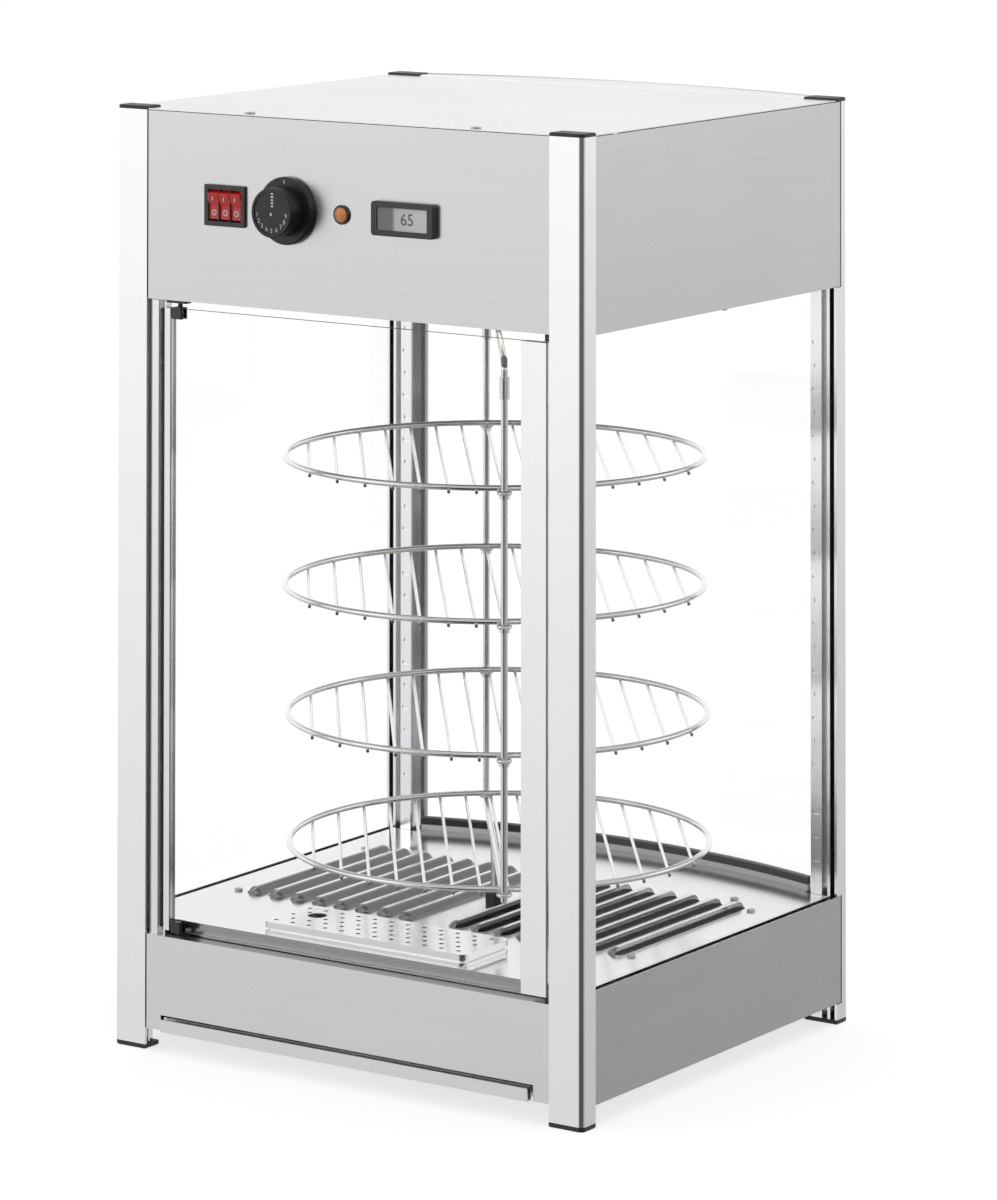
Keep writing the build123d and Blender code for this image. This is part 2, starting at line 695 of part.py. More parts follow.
def heater_clips():
    clips = []
    for x in (-110.0, 110.0):
        bar = block((x - 6, x + 6), (-120, 70), (HEATER_Z - HEATER_R - 2.3, HEATER_Z - HEATER_R - 0.3))
        leg = block((x - 6, x + 6), (-120, -118), (BASE_BOTTOM + 14, HEATER_Z - HEATER_R - 0.3))
        leg += block((x - 6, x + 6), (68, 70), (BASE_BOTTOM + 14, HEATER_Z - HEATER_R - 0.3))
        clips.append(bar + leg)
    return group(clips)


def thermostat_body():
    y = (-PANEL_Y + SHEET + 0.3, -PANEL_Y + SHEET + 28)
    body = block((KNOB_X - 20, KNOB_X + 20), y, (CONTROL_Z - 20, CONTROL_Z + 20))
    return body - along_y(KNOB_X, CONTROL_Z, (y[0] - 1, y[0] + 17), SPINDLE_R + RUNNING_CLEARANCE)


def capillary():
    """The thermostat's sensing tube, down through the ceiling to a bulb in the chamber."""
    start_y = -PANEL_Y + SHEET + 28.5
    points = (
        (KNOB_X, start_y, CONTROL_Z), (KNOB_X, -100, CONTROL_Z), (BULB_X, -100, CONTROL_Z),
        (BULB_X, BULB_Y, CONTROL_Z), (BULB_X, BULB_Y, TOP_BOX_BOTTOM - 4),
    )
    bulb = upright(BULB_X, BULB_Y, (TOP_BOX_BOTTOM - 22, TOP_BOX_BOTTOM - 2), 3.2)
    return bent_tube(points, 15, 1.2) + bulb


# ---- power cord -------------------------------------------------------------------------------

GLAND_X = 190.0
GLAND_Z = 45.0
CORD_R = 3.4
CORD_Y = 233.0
PLUG_Y = 230.5


def cord_gland():
    nut = along_y(0, 0, (0.1, 4), 8.5)
    neck = along_y(0, 0, (-10, 1), 6.3)
    lock = along_y(0, 0, (-7, -SHEET - 0.1), 8.5)
    gland = nut + neck + lock - along_y(0, 0, (-12, 8), CORD_R + 0.2)
    return on_back(GLAND_X, GLAND_Z) * gland


def power_cord():
    """From inside the gland, down to the counter and along behind the case."""
    inside, outside = (on_back(GLAND_X, GLAND_Z) * Pos(0, y, 0) for y in (-14, 14.5))
    out_x, out_y, _ = outside.position
    rest_z = CORD_R + 0.2
    points = (
        tuple(inside.position), tuple(outside.position), (out_x, out_y, rest_z),
        (out_x - 30, CORD_Y, rest_z), (-60, PLUG_Y, rest_z), (-80, PLUG_Y, PLUG_Z), (-100, PLUG_Y, PLUG_Z),
    )
    return bent_tube(points, 7, CORD_R)


PLUG_Z = 9.0


def power_plug():
    """A plain two-pin plug that lies on its side on the counter."""
    body = block((-140, -99), (PLUG_Y - 11, PLUG_Y + 11), (0.4, 2 * PLUG_Z - 0.4))
    body = fillet(body.edges().filter_by(Axis.X), 5)
    for side in (-1, 1):
        body += Pos(-149, PLUG_Y + side * 6, PLUG_Z) * Rot(0, 90, 0) * Cylinder(2.2, 20)
    return body


# ---- screws -----------------------------------------------------------------------------------

def panel_screws():
    head = along_y(0, 0, (0.1, 0.1 + SCREW_HEAD_T), SCREW_HEAD)
    screw = head + along_y(0, 0, (-5, 1), SCREW_SHANK)
    levels = back_screw_levels(BASE_Z) + back_screw_levels(TOP_BACK_Z)
    return [on_back(x, level) * screw for level in levels for x in BACK_SCREW_X]


def upright_screw(x, y, z, head_r, head_t):
    head = upright(x, y, (z + 0.05, z + 0.05 + head_t), head_r)
    return head + upright(x, y, (z - 5, z + 1), SCREW_SHANK)


def top_screws():
    """The screws that are driven from above, in the floor and at the roof's front edge."""
    floor = [upright_screw(x, y, FLOOR_TOP, SCREW_HEAD, SCREW_HEAD_T) for x, y in FLOOR_SCREWS]
    roof_row = [upright_screw(x, y, ROOF_TOP, ROOF_SCREW_HEAD, ROOF_SCREW_T) for x, y in ROOF_SCREWS]
    return floor + roof_row


# ---- door -------------------------------------------------------------------------------------

def door_glass():
    y = (PIVOT_Y - GLASS / 2, PIVOT_Y + GLASS / 2)
    return block((DOOR_LEFT, GRIP_LEFT + 13), y, (DOOR_BOTTOM, DOOR_TOP))


def door_grip():
    """The extruded handle stile on the glass's free edge."""
    middle = (GRIP_LEFT + DOOR_RIGHT) / 2
    section = Pos(middle, PIVOT_Y - 0.5) * RectangleRounded(DOOR_RIGHT - GRIP_LEFT, 9.0, 1.2)
    half = GLASS / 2 + 0.1
    groove = patch((GRIP_LEFT - 1, GRIP_LEFT + 13.2), (PIVOT_Y - half, PIVOT_Y + half))
    hollow = patch((GRIP_LEFT + 15, DOOR_RIGHT - 2), (PIVOT_Y - 3, PIVOT_Y + 2))
    stile = extrude(section - groove - hollow, amount=DOOR_TOP - DOOR_BOTTOM)
    return Pos(0, 0, DOOR_BOTTOM) * stile


def hinge_clamps():
    """Two clamps round the glass, each with a cap over the glass's end and a pivot pin."""
    clamps = []
    x = (DOOR_LEFT - 0.6, PIVOT_X + 4.7)
    for edge, sign in ((DOOR_BOTTOM, -1), (DOOR_TOP, 1)):
        z = sorted((edge - sign * CLAMP_HEIGHT, edge + sign * CLAMP_CAP))
        body = block(x, (PIVOT_Y - 4.4, PIVOT_Y + 4.4), z)
        body = fillet(body.edges().filter_by(Axis.Z), 1.5)
        slot = sorted((edge - sign * 20, edge + sign * 0.1))
        body -= block((x[0] - 2, x[1] + 2), (PIVOT_Y - GLASS / 2 - 0.1, PIVOT_Y + GLASS / 2 + 0.1), slot)
        pin = sorted((edge + sign * 1.0, plate_face(sign) + sign * (PIVOT_PLATE - 0.3)))
        clamps.append(body + upright(PIVOT_X, PIVOT_Y, pin, HINGE_PIN))
    return group(clamps)


def plate_face(sign):
    """The level of the face of a pivot plate that looks at the door."""
    if sign > 0:
        return TOP_BOX_BOTTOM - 0.1 - PIVOT_PLATE
    return BASE_FRONT_TOP + 0.1 + PIVOT_PLATE


def pivot_plates():
    """The fixed plates that hold the door's pins, under the fascia and on the base."""
    plates = []
    for sign in (-1, 1):
        z = sorted((plate_face(sign), plate_face(sign) + sign * PIVOT_PLATE))
        plate = block((JAMB_RIGHT - 4, PIVOT_X + 9), (PIVOT_Y - 3.8, PIVOT_Y + 5), z)
        plate = fillet(plate.edges().filter_by(Axis.Z), 2)
        through = (z[0] - 1, z[1] + 1)
        plates.append(plate - upright(PIVOT_X, PIVOT_Y, through, HINGE_PIN + RUNNING_CLEARANCE))
    return group(plates)


def door_stops():
    stops = []
    for z in ((BASE_FRONT_TOP + 0.1, DOOR_BOTTOM - 1.0), (DOOR_TOP + 1.0, TOP_BOX_BOTTOM - 0.1)):
        stop = block(STOP_X, (PIVOT_Y - 2.5, PIVOT_Y + 6), z)
        stops.append(fillet(stop.edges().filter_by(Axis.Z), 1.5))
    return group(stops)


def hinge_jamb():
    """The fixed extrusion between the left post and the door's hinge edge."""
    left = -HALF_W + POST_U + 0.3
    deep = PIVOT_Y + 5
    section = patch((left, JAMB_RIGHT), (-PANEL_Y + 3.0, deep))
    section += patch((left + 5.5, left + 12.0), (-PANEL_Y, -PANEL_Y + 4))
    section += patch((JAMB_RIGHT - 6.0, JAMB_RIGHT), (-PANEL_Y + 1.0, -PANEL_Y + 4))
    groove_x = (left + 12.0, JAMB_RIGHT - 6.0)
    section -= patch(groove_x, (-PANEL_Y + 2, deep - 1.5))
    jamb = extrude(section, amount=DOOR_TOP + 6.5 - BASE_FRONT_TOP - 0.4)
    jamb = Pos(0, 0, BASE_FRONT_TOP + 0.2) * jamb
    for z in ((BASE_FRONT_TOP, DOOR_BOTTOM), (DOOR_TOP, TOP_BOX_BOTTOM)):
        jamb -= block((JAMB_RIGHT - 4.3, JAMB_RIGHT + 1), (-HALF_D, deep + 1), z)
    return jamb


def brush_seal():
    """The pile strip in the jamb's groove."""
    left = -HALF_W + POST_U + 0.3
    x = (left + 12.2, JAMB_RIGHT - 6.2)
    return block(x, (-PANEL_Y + 4.0, PIVOT_Y + 3.4), (DOOR_BOTTOM, DOOR_TOP))


# ---- controls ---------------------------------------------------------------------------------

FACE_Y = -PANEL_Y
BEZEL_PROUD = 2.5


def rounded_front(x, z, y, radius):
    """A block with round corners when seen from the front."""
    centre = Pos((x[0] + x[1]) / 2, y[1], (z[0] + z[1]) / 2)
    outline = RectangleRounded(x[1] - x[0], z[1] - z[0], radius)
    return centre * Rot(90, 0, 0) * extrude(outline, amount=y[1] - y[0])


def switch_bezel():
    x = (SWITCH_X - SWITCH_W / 2, SWITCH_X + SWITCH_W / 2)
    z = (CONTROL_Z - SWITCH_H / 2, CONTROL_Z + SWITCH_H / 2)
    bezel = rounded_front(x, z, (FACE_Y - BEZEL_PROUD, FACE_Y - 0.05), 1.5)
    housing_x = (SWITCH_X - 19.2, SWITCH_X + 19.2)
    bezel += block(housing_x, (FACE_Y - 0.1, FACE_Y + 19), (CONTROL_Z - 15.2, CONTROL_Z + 15.2))
    half = ROCKER_REACH + 0.3
    for index in (-1, 0, 1):
        x0 = SWITCH_X + index * ROCKER_PITCH
        aperture = (x0 - ROCKER_W / 2 - 0.2, x0 + ROCKER_W / 2 + 0.2)
        bezel -= block(aperture, (FACE_Y - 5, FACE_Y + 16), (CONTROL_Z - half, CONTROL_Z + half))
    return bezel


def rocker(index):
    """A rocker with a shallow V front, resting with its lower half pressed in."""
    x0 = SWITCH_X + index * ROCKER_PITCH
    upper = [(5.6, 0.0), (7.5, 10.6), (5.0, 12.0), (-1.0, 13.0), (-7.0, 7.0)]
    lower = [(out, -up) for out, up in reversed(upper[1:])]
    face = make_face(Polyline(*[(-out, up) for out, up in upper + lower], close=True))
    body = Pos(-ROCKER_W / 2, 0, 0) * (Plane.YZ * extrude(face, amount=ROCKER_W))
    body = Rot(ROCKER_TILT, 0, 0) * body
    return Pos(x0, ROCKER_PIVOT_Y, CONTROL_Z) * body


def thermostat_knob():
    """Skirt, grip and spindle, turned about the spindle."""
    back = FACE_Y - 0.4
    skirt = along_y(KNOB_X, CONTROL_Z, (back - KNOB_SKIRT_T, back), KNOB_SKIRT_R)
    front_edge = [e for e in skirt.edges() if e.center().Y < back - KNOB_SKIRT_T + 0.1]
    skirt = chamfer(front_edge, 1.5)
    grip = along_y(KNOB_X, CONTROL_Z, (back - KNOB_DEPTH, back - 1), KNOB_BODY_R)
    rim = [e for e in grip.edges() if e.center().Y < back - KNOB_DEPTH + 0.1]
    grip = fillet(rim, 1.5)
    dish = along_y(KNOB_X, CONTROL_Z, (back - KNOB_DEPTH - 1, back - KNOB_DEPTH + 0.8), KNOB_BODY_R - 3)
    spindle = along_y(KNOB_X, CONTROL_Z, (back - 2, FACE_Y + 16), SPINDLE_R)
    return skirt + grip - dish + spindle


def indicator_bezel():
    ring = along_y(LAMP_X, CONTROL_Z, (FACE_Y - 2.2, FACE_Y - 0.05), 8.2)
    front = [e for e in ring.edges() if e.center().Y < FACE_Y - 2.1]
    ring = chamfer(front, 0.8)
    body = along_y(LAMP_X, CONTROL_Z, (FACE_Y - 0.5, FACE_Y + 22), 6.0)
    return ring + body - along_y(LAMP_X, CONTROL_Z, (FACE_Y - 3, FACE_Y + 4), 5.4)


def indicator_lens():
    stem = along_y(LAMP_X, CONTROL_Z, (FACE_Y - 2.6, FACE_Y + 3.5), 5.3)
    dome_r = 7.0
    dome = Pos(LAMP_X, FACE_Y - 2.6 + 3.6, CONTROL_Z) * Sphere(dome_r)
    dome &= along_y(LAMP_X, CONTROL_Z, (FACE_Y - 8, FACE_Y - 2.5), 6.2)
    return stem + dome


def thermometer_bezel():
    x = (DISPLAY_X - DISPLAY_W / 2, DISPLAY_X + DISPLAY_W / 2)
    z = (CONTROL_Z - DISPLAY_H / 2, CONTROL_Z + DISPLAY_H / 2)
    frame = rounded_front(x, z, (FACE_Y - DISPLAY_PROUD, FACE_Y - 0.05), 3)
    front = [e for e in frame.edges() if e.center().Y < FACE_Y - DISPLAY_PROUD + 0.01]
    frame = chamfer(front, 1.2)
    housing_x = (DISPLAY_X - DISPLAY_W / 2 + 3.2, DISPLAY_X + DISPLAY_W / 2 - 3.2)
    frame += block(housing_x, (FACE_Y - 0.5, FACE_Y + 20), (CONTROL_Z - 11.8, CONTROL_Z + 11.8))
    window_y = (FACE_Y - DISPLAY_PROUD - 1, FACE_Y - DISPLAY_PROUD + 3)
    return frame - rounded_front(*window_span(0), window_y, 1)


def window_span(gap):
    """The window's opening, left to right and bottom to top, drawn in by a gap."""
    x = (DISPLAY_X - DISPLAY_W / 2 + DISPLAY_RIM, DISPLAY_X + DISPLAY_W / 2 - DISPLAY_RIM)
    z = (CONTROL_Z - DISPLAY_H / 2 + DISPLAY_RIM_Z, CONTROL_Z + DISPLAY_H / 2 - DISPLAY_RIM_Z)
    return inset(x, gap), inset(z, gap)


def thermometer_window():
    y = (FACE_Y - DISPLAY_PROUD + 1.0, FACE_Y - DISPLAY_PROUD + 2.8)
    return rounded_front(*window_span(0.2), y, 0.9)


# ---- crumb tray -------------------------------------------------------------------------------

def crumb_tray():
    front = -HALF_D + 2.0
    x = (-TRAY_HALF_X, TRAY_HALF_X)
    outer = block(x, (front, TRAY_BACK_Y), (TRAY_BOTTOM, TRAY_TOP))
    inner_y = (front + SHEET, TRAY_BACK_Y - SHEET)
    tray = outer - block(inset(x, SHEET), inner_y, (TRAY_BOTTOM + SHEET, TRAY_TOP + 1))
    lip = block(x, (-HALF_D - 3.0, front + SHEET), (TRAY_BOTTOM - 2.4, TRAY_BOTTOM - 1.0))
    lip += block(x, (-HALF_D - 3.0, -HALF_D - 1.6), (TRAY_BOTTOM - 2.4, TRAY_TOP - 1))
    lip += block(x, (front, front + SHEET), (TRAY_BOTTOM - 2.4, TRAY_TOP))
    return tray + lip


def tray_runners():
    runners = []
    for side in (-1, 1):
        outer = side * (TRAY_HALF_X + 2.2)
        inner = side * (TRAY_HALF_X + 0.8)
        reach = side * (TRAY_HALF_X - 6)
        y = (-185.0, TRAY_BACK_Y + 10)
        wall = block(sorted((inner, outer)), y, (BASE_BOTTOM + SHEET + 0.1, TRAY_TOP + 1.8))
        top = block(sorted((reach, outer)), y, (TRAY_TOP + 0.6, TRAY_TOP + 1.8))
        runners.append(wall + top)
    return group(runners)


RACK_SHAPES = {shift: wire_rack(shift) for shift in RACK_SHIFTS}

# ---- the nodes --------------------------------------------------------------------------------

base_back = back_panel(BASE_Z, vents=False)
base_back -= on_back(GLAND_X, GLAND_Z) * along_y(0, 0, (-3, 2), 6.5)

parts = {
    "post_front_left": post(0, 0),
    "post_front_right": post(1, 0),
    "post_back_left": post(0, 1),
    "post_back_right": post(1, 1),
    "post_end_caps": end_caps(),
    "roof_panel": roof(),
    "control_fascia": control_fascia(),
    "top_side_left": side_panel(TOP_Z, flange_low=True),
    "top_side_right": mirrored(side_panel(TOP_Z, flange_low=True)),
    "top_back_panel": back_panel(TOP_BACK_Z, vents=True),
    "ceiling_plate": ceiling_plate(),
    "base_front_panel": base_front_panel(),
    "base_side_left": side_panel(BASE_Z, flange_low=True),
    "base_side_right": mirrored(side_panel(BASE_Z, flange_low=True)),
    "base_back_panel": base_back,
    "base_bottom_plate": base_bottom_plate(),
    "floor_plate": floor_plate(),
    "side_glass_left": side_glass(),
    "side_glass_right": mirrored(side_glass()),
    "back_glass": back_glass(),
    "back_glass_rail": back_glass_rail(),
    "hinge_jamb": hinge_jamb(),
    "brush_seal": brush_seal(),
    "pivot_plates": pivot_plates(),
    "door_stops": door_stops(),
    "axle_bearing": axle_bearing(),
    "gear_motor": gear_motor(),
    "motor_bracket": motor_bracket(),
    "chamber_lamp": chamber_lamp(),
    "lamp_holders": lamp_holders(),
    "heating_element": heating_element(),
    "heater_clips": heater_clips(),
    "thermostat_body": thermostat_body(),
    "thermostat_capillary": capillary(),
    "cord_gland": cord_gland(),
    "power_cord": power_cord() + power_plug(),
    "screws": group(panel_screws() + top_screws()),
    "tray_runners": tray_runners(),
    "switch_bezel": switch_bezel(),
    "indicator_bezel": indicator_bezel(),
    "indicator_lens": indicator_lens(),
    "thermometer_bezel": thermometer_bezel(),
    "thermometer_window": thermometer_window(),
    "door_glass": door_glass(),
    "door_grip": door_grip(),
    "hinge_clamps": hinge_clamps(),
    "drive_shaft": drive_shaft(),
    "drive_hub": drive_hub(),
    "carousel_frame": carousel_frame(),
    "thermostat_knob": thermostat_knob(),
    "crumb_tray": crumb_tray(),
    "water_pan": water_pan(),
    "pan_lid": pan_lid(),
}
for name, index in (("rocker_left", -1), ("rocker_middle", 0), ("rocker_right", 1)):
    parts[name] = rocker(index)
for number, (level, shift) in enumerate(zip(RACK_LEVELS, RACK_SHIFTS), start=1):
    parts[f"rack_{number}"] = rack(level, shift)

os.makedirs("parts", exist_ok=True)
for name, shape in parts.items():
    export_step(shape, f"parts/{name}.step")
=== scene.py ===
import math
import random

import bmesh
import bpy
from mathutils import Matrix, Vector


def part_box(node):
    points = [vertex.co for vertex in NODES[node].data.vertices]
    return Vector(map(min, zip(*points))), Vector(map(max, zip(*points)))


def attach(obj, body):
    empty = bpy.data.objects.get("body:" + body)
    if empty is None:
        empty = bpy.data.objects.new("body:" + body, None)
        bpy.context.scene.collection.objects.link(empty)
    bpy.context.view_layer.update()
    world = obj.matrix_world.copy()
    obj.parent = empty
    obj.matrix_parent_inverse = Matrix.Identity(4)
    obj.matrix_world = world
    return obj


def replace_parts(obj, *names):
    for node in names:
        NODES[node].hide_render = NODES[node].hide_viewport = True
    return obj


MM = 0.001
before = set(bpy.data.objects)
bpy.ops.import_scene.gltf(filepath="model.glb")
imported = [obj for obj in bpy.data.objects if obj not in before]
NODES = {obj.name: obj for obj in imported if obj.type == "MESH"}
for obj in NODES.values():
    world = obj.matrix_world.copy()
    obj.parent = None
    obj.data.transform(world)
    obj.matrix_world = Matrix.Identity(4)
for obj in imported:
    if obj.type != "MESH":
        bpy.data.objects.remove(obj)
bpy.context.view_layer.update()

# ---- node helpers -----------------------------------------------------------------------------

class Shader:
    """A small builder for one procedural material."""

    def __init__(self, name):
        self.material = bpy.data.materials.new(name)
        self.material.use_nodes = True
        self.tree = self.material.node_tree
        self.tree.nodes.clear()
        self.out = self.tree.nodes.new("ShaderNodeOutputMaterial")
        self.coords = self.tree.nodes.new("ShaderNodeTexCoord")

    def node(self, kind, **values):
        made = self.tree.nodes.new(kind)
        for key, value in values.items():
            if hasattr(made, key):
                setattr(made, key, value)
            else:
                self.set(made.inputs[key], value)
        return made

    def set(self, socket, value):
        if isinstance(value, bpy.types.NodeSocket):
            self.tree.links.new(value, socket)
        else:
            socket.default_value = value

    def scaled(self, scale, rotation=(0, 0, 0)):
        """Object coordinates in metres, stretched by a scale on each axis."""
        mapping = self.tree.nodes.new("ShaderNodeMapping")
        mapping.inputs["Scale"].default_value = scale
        mapping.inputs["Rotation"].default_value = rotation
        self.tree.links.new(self.coords.outputs["Object"], mapping.inputs["Vector"])
        return mapping.outputs["Vector"]

    def noise(self, scale, detail=4.0, roughness=0.5, vector=None):
        """A 3D noise; scale is a number or one per axis, in features per metre."""
        if isinstance(scale, (int, float)):
            scale = (scale,) * 3
        made = self.tree.nodes.new("ShaderNodeTexNoise")
        made.inputs["Scale"].default_value = 1.0
        made.inputs["Detail"].default_value = detail
        made.inputs["Roughness"].default_value = roughness
        self.tree.links.new(vector or self.scaled(scale), made.inputs["Vector"])
        return made.outputs["Fac"]

    def spread(self, source, low, high, start=0.0, end=1.0):
        """Maps a 0 to 1 signal onto low to high."""
        made = self.tree.nodes.new("ShaderNodeMapRange")
        self.set(made.inputs["Value"], source)
        made.inputs["From Min"].default_value = start
        made.inputs["From Max"].default_value = end
        made.inputs["To Min"].default_value = low
        made.inputs["To Max"].default_value = high
        return made.outputs["Result"]

    def math(self, operation, first, second=0.0, third=0.0):
        made = self.tree.nodes.new("ShaderNodeMath")
        made.operation = operation
        for socket, value in zip(made.inputs, (first, second, third)):
            self.set(socket, value)
        return made.outputs["Value"]

    def mix(self, factor, first, second):
        made = self.tree.nodes.new("ShaderNodeMix")
        made.data_type = "RGBA"
        self.set(made.inputs[0], factor)
        for socket, value in ((made.inputs[6], first), (made.inputs[7], second)):
            if isinstance(value, (int, float)):
                value = (value, value, value, 1)
            self.set(socket, value if isinstance(value, bpy.types.NodeSocket) else (*value[:3], 1))
        return made.outputs[2]

    def ramp(self, factor, stops):
        made = self.tree.nodes.new("ShaderNodeValToRGB")
        elements = made.color_ramp.elements
        while len(elements) < len(stops):
            elements.new(0.5)
        for element, (place, value) in zip(elements, stops):
            element.position = place
            element.color = (value, value, value, 1) if isinstance(value, (int, float)) else (*value, 1)
        self.set(made.inputs["Fac"], factor)
        return made.outputs["Color"]

    def bump(self, height, strength, distance):
        made = self.tree.nodes.new("ShaderNodeBump")
        made.inputs["Strength"].default_value = strength
        made.inputs["Distance"].default_value = distance
        self.set(made.inputs["Height"], height)
        return made.outputs["Normal"]

    def principled(self, **values):
        made = self.tree.nodes.new("ShaderNodeBsdfPrincipled")
        for key, value in values.items():
            name = key.replace("_", " ")
            if isinstance(value, tuple) and "Color" in name:
                value = (*value, 1)
            self.set(made.inputs[name], value)
        self.set(self.out.inputs["Surface"], made.outputs[0])
        return made


def grey(value):
    return (value, value, value * 1.01)


def tinted(s, shade, gains):
    """A colour from one brightness signal, with a gain for red, green and blue."""
    colour = s.tree.nodes.new("ShaderNodeCombineColor")
    for index, gain in enumerate(gains):
        s.set(colour.inputs[index], s.math("MULTIPLY", shade, gain))
    return colour.outputs[0]


BRUSH_DEPTH = 0.00004
SLOPE_SHADE = 0.45

# ---- metals -----------------------------------------------------------------------------------

def brushed_steel(name, along, tone=0.62, rough=0.30, streak=0.05, underside_shade=1.0):
    """Sheet steel with fine brushing; along is the axis that the brushing runs on.

    With an underside shade below 1, downward faces get painted shade, and sloping faces are darkened with
    painted shade as well."""
    s = Shader(name)
    fine = [2600.0, 2600.0, 2600.0]
    broad = [240.0, 240.0, 240.0]
    fine["XYZ".index(along)] = 9.0
    broad["XYZ".index(along)] = 2.5
    lines = s.noise(tuple(fine), detail=3.0, roughness=0.6)
    bands = s.noise(tuple(broad), detail=3.0, roughness=0.6)
    cloud = s.noise(9.0, detail=3.0)
    shade = s.math("MULTIPLY_ADD", lines, streak, tone - streak * 0.5)
    shade = s.math("MULTIPLY_ADD", bands, 0.035, shade)
    shade = s.math("MULTIPLY_ADD", cloud, 0.03, shade)
    if underside_shade < 1.0:
        normal = s.tree.nodes.new("ShaderNodeSeparateXYZ")
        s.set(normal.inputs[0], s.coords.outputs["Normal"])
        facing_up = normal.outputs["Z"]
        # Painted shade: faces that look down are darkened almost to black, and sloping faces such as the
        # louvre hoods are darkened too, standing for the shade under and inside the pressings.
        shade = s.math("MULTIPLY", shade, s.spread(facing_up, underside_shade, 1.0, -0.12, -0.02))
        shade = s.math("MULTIPLY", shade, s.spread(facing_up, SLOPE_SHADE, 1.0, 0.94, 0.998))
    roughness = s.math("MULTIPLY_ADD", lines, 0.10, rough - 0.05)
    roughness = s.math("MULTIPLY_ADD", cloud, 0.06, roughness)
    s.principled(
        Base_Color=tinted(s, shade, (1.0, 1.0, 1.012)),
        Metallic=1.0,
        Roughness=roughness,
        Normal=s.bump(lines, 0.10, BRUSH_DEPTH),
    )
    return s.material


def drawn_aluminium(name, tone=0.93, rough=0.19):
    """Satin anodised extrusion with faint upright draw lines."""
    s = Shader(name)
    lines = s.noise((1500.0, 1500.0, 1.5), detail=4.0, roughness=0.65)
    cloud = s.noise(14.0, detail=3.0)
    shade = s.math("MULTIPLY_ADD", lines, 0.05, tone - 0.025)
    shade = s.math("MULTIPLY_ADD", cloud, 0.02, shade)
    roughness = s.math("MULTIPLY_ADD", lines, 0.10, rough - 0.05)
    s.principled(
        Base_Color=tinted(s, shade, (0.995, 1.0, 1.012)),
        Metallic=1.0,
        Roughness=roughness,
        Normal=s.bump(lines, 0.12, BRUSH_DEPTH),
    )
    return s.material


def bright_wire(name):
    """Polished stainless wire with faint drawn streaks."""
    s = Shader(name)
    grain = s.noise(900.0, detail=3.0, roughness=0.7)
    cloud = s.noise(35.0, detail=3.0)
    shade = s.math("MULTIPLY_ADD", cloud, 0.10, 0.72)
    roughness = s.math("MULTIPLY_ADD", grain, 0.10, 0.12)
    s.principled(
        Base_Color=tinted(s, shade, (1.0, 0.995, 0.985)),
        Metallic=1.0,
        Roughness=roughness,
        Normal=s.bump(grain, 0.15, 0.00005),
    )
    return s.material


def plated_steel(name, tone=0.42):
    """Zinc plate: a dull metal with small crystal patches."""
    s = Shader(name)
    cells = s.node("ShaderNodeTexVoronoi", Vector=s.scaled((160.0,) * 3), Scale=1.0)
    fine = s.noise(500.0, detail=4.0)
    shade = s.math("MULTIPLY_ADD", cells.outputs["Color"], 0.07, tone)
    s.principled(
        Base_Color=tinted(s, shade, (0.98, 1.0, 1.02)),
        Metallic=0.9,
        Roughness=s.math("MULTIPLY_ADD", fine, 0.14, 0.36),
        Normal=s.bump(fine, 0.12, 0.0001),
    )
    return s.material


def heated_sheath(name):
    """A tubular heater's sheath, tinted straw to blue where it has run hot."""
    s = Shader(name)
    patches = s.noise(11.0, detail=3.0)
    grain = s.noise(900.0, detail=3.0)
    straw_to_blue = [(0.30, (0.20, 0.17, 0.14)), (0.50, (0.30, 0.22, 0.14)), (0.70, (0.16, 0.17, 0.22))]
    colour = s.ramp(patches, straw_to_blue)
    s.principled(Base_Color=colour, Metallic=0.9, Roughness=0.42, Normal=s.bump(grain, 0.2, 0.0001))
    return s.material


def copper(name):
    s = Shader(name)
    cloud = s.noise(60.0, detail=3.0)
    colour = s.mix(cloud, (0.55, 0.26, 0.14), (0.72, 0.40, 0.24))
    s.principled(Base_Color=colour, Metallic=1.0, Roughness=s.spread(cloud, 0.22, 0.42))
    return s.material


# ---- plastics, rubber and glass -----------------------------------------------------------------

def moulded(name, tone, rough=0.45, grain_size=1400.0, grain_depth=0.00006, coat=0.0):
    """Moulded plastic with a spark-eroded grain and slightly polished high spots."""
    s = Shader(name)
    grain = s.noise(grain_size, detail=3.0, roughness=0.6)
    wear = s.noise(45.0, detail=5.0)
    colour = s.mix(wear, tuple(c * 0.85 for c in tone), tuple(c * 1.15 for c in tone))
    s.principled(
        Base_Color=colour,
        Roughness=s.math("MULTIPLY_ADD", wear, 0.14, rough - 0.07),
        Coat_Weight=coat,
        Normal=s.bump(grain, 0.5, grain_depth),
    )
    return s.material


def soft_rubber(name, tone=0.035):
    s = Shader(name)
    grain = s.noise((900.0, 900.0, 900.0), detail=4.0)
    dust = s.noise(30.0, detail=5.0)
    colour = s.mix(dust, grey(tone * 0.8), grey(tone * 1.5))
    s.principled(Base_Color=colour, Roughness=s.spread(dust, 0.5, 0.7), Normal=s.bump(grain, 0.4, 0.0001))
    return s.material


def rail_section(name):
    """The rail's section: a near-black upper part over a pale foot."""
    s = Shader(name)
    grain = s.noise(900.0, detail=4.0)
    place = s.tree.nodes.new("ShaderNodeSeparateXYZ")
    s.set(place.inputs[0], s.coords.outputs["Generated"])
    colour = s.ramp(place.outputs["Z"], [(0.40, 0.75), (0.44, 0.02), (0.88, 0.015), (0.94, 0.14)])
    s.principled(Base_Color=colour, Roughness=0.5, Normal=s.bump(grain, 0.3, 0.0001))
    return s.material


GLASS_EDGE = (0.030, 0.040, 0.038)


